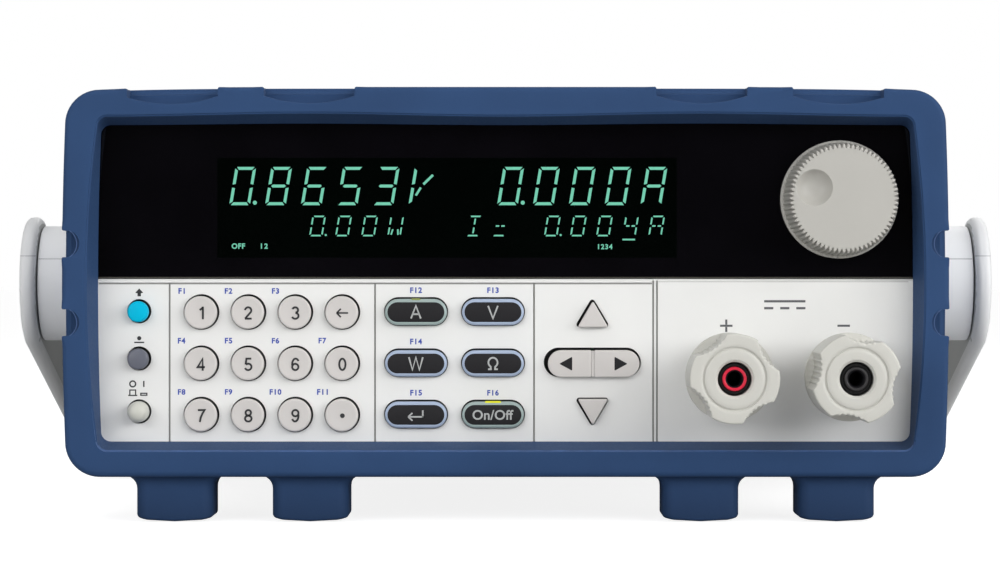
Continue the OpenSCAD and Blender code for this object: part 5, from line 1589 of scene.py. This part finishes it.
def handle_seams():
    """Mould lines round the rims of the handle discs and along the pivot hubs."""
    up = DISC_SEAM_UP
    mid = ARM_OUT - ARM_T / 2
    hub_y = AXLE - sqrt((size("handle_hubs")[1] / 2) ** 2 - HUB_SEAM_UP ** 2)
    section = ((-0.03, -SEAM_HALF), (-0.03, SEAM_HALF), (0.15, SEAM_HALF), (0.15, -SEAM_HALF))
    for way, side in SIDES:
        rings = []
        for a in half_turn(16):
            x = mid + ARM_T / 2 * sin(a * 0.92)
            past = max(0.0, abs(x - mid) - ARM_T / 2 + ARM_ROUND)
            r = DISC_R - ARM_ROUND + sqrt(ARM_ROUND ** 2 - past ** 2)
            y = AXLE - sqrt(r * r - up * up)
            rings.append([spot(way * x, y + d, up + e) for d, e in section])
        bm = bmesh.new()
        loft(bm, rings)
        piece("handle_seam_" + side, bm, "seam_grey", "carry_handle")
        line = bar(way * HUB_SEAM[0], HUB_SEAM_UP, way * HUB_SEAM[1], HUB_SEAM_UP, 2 * SEAM_HALF)
        bm = bmesh.new()
        slab(bm, line if way > 0 else line[::-1], hub_y - 0.05, hub_y + 0.2)
        piece("hub_seam_" + side, bm, "seam_grey", "chassis")


handle()
handle_seams()


# Screws and rear connectors

# Radius and height of each kind of screw head
FAN_SCREW = (2.8, 1.7)
INLET_SCREW = (2.4, 1.2)
CASE_SCREW = (2.8, 1.6)
PIVOT_SCREW = (3.2, 1.0)
SERIAL_POST = (2.2, 2.6)
SENSE_SCREW = (1.2, 4.5)
FAN_SCREW_IN = 4.25
INLET_SCREW_OFF = 20
CASE_SCREW_Y = (90, 240, 390)
CASE_SCREW_UP = 6
BACK = (0, 1, 0)
# Room round the inlet's pins: half width, half height, depth of its front and back
INLET_PINS = (4.6, 8.6, 2.9, 16.9)
SERIAL_Z = 17.5
SERIAL_W = 18
SERIAL_H = 9.6
SERIAL_R = 2
SERIAL_OUT = 5
# Width, height past the socket, thickness
SERIAL_PLATE = (30, 2.6, 0.5)
# Radius and reach past the lip
SERIAL_PIN = ((0, 0.15), (0.4, 0.1), (0.5, 0))
SERIAL_PITCH = 2.75
SERIAL_ROW = 1.4
SERIAL_POST_OFF = 12.5
SENSE_Z = 32.5
SENSE_PITCH = 5
SENSE_SINK = 1.9


def screw(bm, place, axis, r, high):
    """A domed screw head with a cross in it, standing on a place along an axis; the cross is painted black,
    as the shade in its recess.
    """
    head = bmesh.new()
    dome = rounded([(0, high, 0), (r * 0.6, high, r * 0.5), (r, high * 0.35, r * 0.2), (r, 0, 0)], steps=4)
    spin = [radians(a) for a in range(0, 360, 15)]
    rings = [[Vector((p.x * cos(a), p.x * sin(a), p.y)) * MM for a in spin] for p in dome]
    rings[0] = [Vector((0, 0, high * MM))]
    loft(head, rings)
    slot = r * 0.16
    arm = r * 0.62
    cross = [(slot, slot), (slot, arm), (-slot, arm), (-slot, slot), (-arm, slot), (-arm, -slot),
             (-slot, -slot), (-slot, -arm), (slot, -arm), (slot, -slot), (arm, -slot), (arm, slot)]
    loft(head, [[Vector((x, z, y)) * MM for x, z in cross] for y in (high * 0.7, high + 0.02)])
    # Painted shade: the cross's flat ends take black
    for face in head.faces:
        face.material_index = int(len(face.verts) == len(cross))
    turn = Vector(axis).to_track_quat("Z", "X").to_matrix().to_4x4()
    bmesh.ops.transform(head, matrix=turn, verts=head.verts)
    bmesh.ops.translate(head, vec=place, verts=head.verts)
    mesh = bpy.data.meshes.new("head")
    head.to_mesh(mesh)
    head.free()
    bm.from_mesh(mesh)
    bpy.data.meshes.remove(mesh)


def screws(name, places, axis, r, high):
    bm = bmesh.new()
    for place in places:
        screw(bm, place, axis, r, high)
    heads = piece(name, bm, "bright_steel", "chassis")
    # Black for the painted shade of the crosses
    heads.data.materials.append(MAT["part_black"])


def fasteners():
    """Screws of the fans, the mains inlet, the case sides and the handle pivots."""
    rear = depths("chassis_tray")[1]
    reach = size("fan_frames")[1] / 2 - FAN_SCREW_IN
    fans = [middle(node) for node in ("fan_rotor_left", "fan_rotor_right")]
    spots = [spot(x + a * reach, rear, z + b * reach) for x, z in fans for a in (-1, 1) for b in (-1, 1)]
    screws("fan_screws", spots, BACK, *FAN_SCREW)
    x, z = middle("ac_inlet")
    plate = depths("ac_inlet")[1]
    screws("inlet_screws", [spot(x, plate, z + way * INLET_SCREW_OFF) for way in (-1, 1)], BACK, *INLET_SCREW)
    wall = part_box("top_cover")[1].x / MM
    low = heights("top_cover")[0] + CASE_SCREW_UP
    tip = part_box("handle_hubs")[1].x / MM
    axle_z = middle("handle_hubs")[1]
    for way, side in SIDES:
        row = [spot(way * wall, y, low) for y in CASE_SCREW_Y]
        screws("case_screws_" + side, row, (way, 0, 0), *CASE_SCREW)
        screws("pivot_screw_" + side, [spot(way * tip, AXLE, axle_z)], (way, 0, 0), *PIVOT_SCREW)


def connectors():
    """Steel pins of the inlet, the steel shell and pins of the serial socket, screws of the sense block."""
    x, z = middle("ac_inlet")
    back = depths("ac_inlet")[1]
    half_w, half_h, tip, root = INLET_PINS
    near, far = spot(0, back - root, 0).y, spot(0, back - tip, 0).y

    def on_pin(face):
        a = abs(face.center.x / MM - x)
        b = abs((face.center.z - MID) / MM - z)
        return a < half_w and b < half_h and near < face.center.y < far

    tint(NODES["ac_inlet"].data, "bright_steel", on_pin)
    rear = depths("chassis_tray")[1]
    lip = rear + SERIAL_OUT
    outer, inner = (rounded_box(x, SERIAL_Z, SERIAL_W / 2 + grow, SERIAL_H / 2 + grow, SERIAL_R)
                    for grow in (0.25, -0.75))
    bm = bmesh.new()
    loft(bm, [at(outer, rear), at(outer, lip + 0.3), at(inner, lip + 0.3), at(inner, lip - 0.4)], loop=True)
    plate_w, plate_up, plate_t = SERIAL_PLATE
    plate = bar(x - plate_w / 2, SERIAL_Z, x + plate_w / 2, SERIAL_Z, SERIAL_H + plate_up)
    slab(bm, plate, rear, rear + plate_t)
    piece("serial_shell", bm, "bright_steel", "chassis")
    bm = bmesh.new()
    for row, count in ((1, 5), (-1, 4)):
        for k in range(count):
            across = x + (k - (count - 1) / 2) * SERIAL_PITCH
            lathe(bm, across, SERIAL_Z + row * SERIAL_ROW, [(r, lip + out) for r, out in SERIAL_PIN], 12)
    piece("serial_pins", bm, "post_brass", "chassis")
    posts = [spot(x + way * SERIAL_POST_OFF, rear + plate_t, SERIAL_Z) for way in (-1, 1)]
    screws("serial_posts", posts, BACK, *SERIAL_POST)
    spots = [spot(x + k * SENSE_PITCH, rear - SENSE_SINK, SENSE_Z) for k in range(-2, 3)]
    screws("sense_screws", spots, BACK, *SENSE_SCREW)


fasteners()
connectors()


# Camera, floor and light

CAMERA_BACK = 871
LENS = 121.2
SENSOR = 36
SHIFT_X = -0.0055
SHIFT_Y = -0.0017
# Each softbox, in metres and watts: place (across, back from the bumper's front, up), width, height, power
LIGHTS = {
    "key_light": ((-0.8, -1.25, 0.5), 1.1, 0.8, 8.7),
    "fill_light": ((0.8, -1.25, 0.5), 1.1, 0.8, 9.6),
    "top_light": ((0.0, -0.2, 1.5), 1.6, 1.0, 7),
    "right_light": ((1.5, -0.6, 0.5), 0.8, 0.8, 11),
    "left_light": ((-1.5, -0.6, 0.5), 0.8, 0.8, 2),
    "back_light": ((0.3, 1.9, 1.2), 1.2, 0.9, 8),
}
FLOOR = ((-12, -6, 0), (12, -6, 0), (12, 30, 0), (-12, 30, 0))
FLOOR_GREY = 0.5
FLOOR_GAP = 0.0002
FLOOR_GLOW = 0.85
WHITE = (1, 1, 1, 1)
WORLD_BAND = (-0.97, -0.75)
WORLD_LEVEL = (0.01, 0.25)


def photo_camera():
    """The camera that the photo was taken with."""
    camera = bpy.data.cameras.new("camera")
    camera.lens = LENS
    camera.sensor_width = SENSOR
    camera.shift_x = SHIFT_X
    camera.shift_y = SHIFT_Y
    camera.clip_end = 100
    view = bpy.data.objects.new("camera", camera)
    view.location = spot(0, -CAMERA_BACK, 0)
    view.rotation_euler = (pi / 2, 0, 0)
    SCENE.collection.objects.link(view)
    SCENE.camera = view


def softbox(name, place, wide, high, power):
    """An area light that looks at the middle of the front."""
    lamp = bpy.data.lights.new(name, "AREA")
    lamp.shape = "RECTANGLE"
    lamp.size = wide
    lamp.size_y = high
    lamp.energy = power
    obj = bpy.data.objects.new(name, lamp)
    obj.location = Vector(place)
    aim = spot(0, 0, 0) - obj.location
    obj.rotation_euler = aim.to_track_quat("-Z", "Y").to_euler()
    SCENE.collection.objects.link(obj)


def studio_floor():
    """A pale floor that glows only for the camera, so it doesn't light the object from below."""
    mesh = bpy.data.meshes.new("floor")
    mesh.from_pydata(FLOOR, [], [(0, 1, 2, 3)])
    floor = bpy.data.objects.new("floor", mesh)
    floor.location.z = CAD_BOX[0][2] - FLOOR_GAP
    SCENE.collection.objects.link(floor)
    mat = finish("studio_floor", shade(WHITE, FLOOR_GREY), 0.9, 0.01, 0)
    tree = mat.node_tree
    bsdf = tree.nodes["Principled BSDF"]
    put(bsdf, Emission_Color=WHITE)
    lift = remap(tree, add(tree, "LightPath").outputs["Is Camera Ray"], To_Max=FLOOR_GLOW)
    tree.links.new(lift, bsdf.inputs["Emission Strength"])
    mesh.materials.append(mat)


def studio_world():
    """White behind the object; its soft light darkens towards the camera, so the window stays black."""
    world = bpy.data.worlds.new("studio")
    world.use_nodes = True
    SCENE.world = world
    tree = world.node_tree
    link = tree.links.new
    ambient = tree.nodes["Background"]
    put(ambient, Color=WHITE)
    split = add(tree, "SeparateXYZ")
    link(add(tree, "TexCoord").outputs["Generated"], split.inputs["Vector"])
    level = remap(tree, split.outputs["Y"], From_Min=WORLD_BAND[0], From_Max=WORLD_BAND[1],
                  To_Min=WORLD_LEVEL[0], To_Max=WORLD_LEVEL[1])
    link(level, ambient.inputs["Strength"])
    backdrop = add(tree, "Background", Color=WHITE)
    choose = add(tree, "MixShader")
    link(add(tree, "LightPath").outputs["Is Camera Ray"], choose.inputs["Fac"])
    link(ambient.outputs["Background"], choose.inputs[1])
    link(backdrop.outputs["Background"], choose.inputs[2])
    link(choose.outputs["Shader"], tree.nodes["World Output"].inputs["Surface"])


photo_camera()
for light, ((across, back, up), *setting) in LIGHTS.items():
    softbox(light, (across, FRONT + back, up), *setting)
studio_floor()
studio_world()
SCENE.view_settings.view_transform = "Standard"
SCENE.view_settings.look = "None"
SCENE.cycles.use_denoising = True
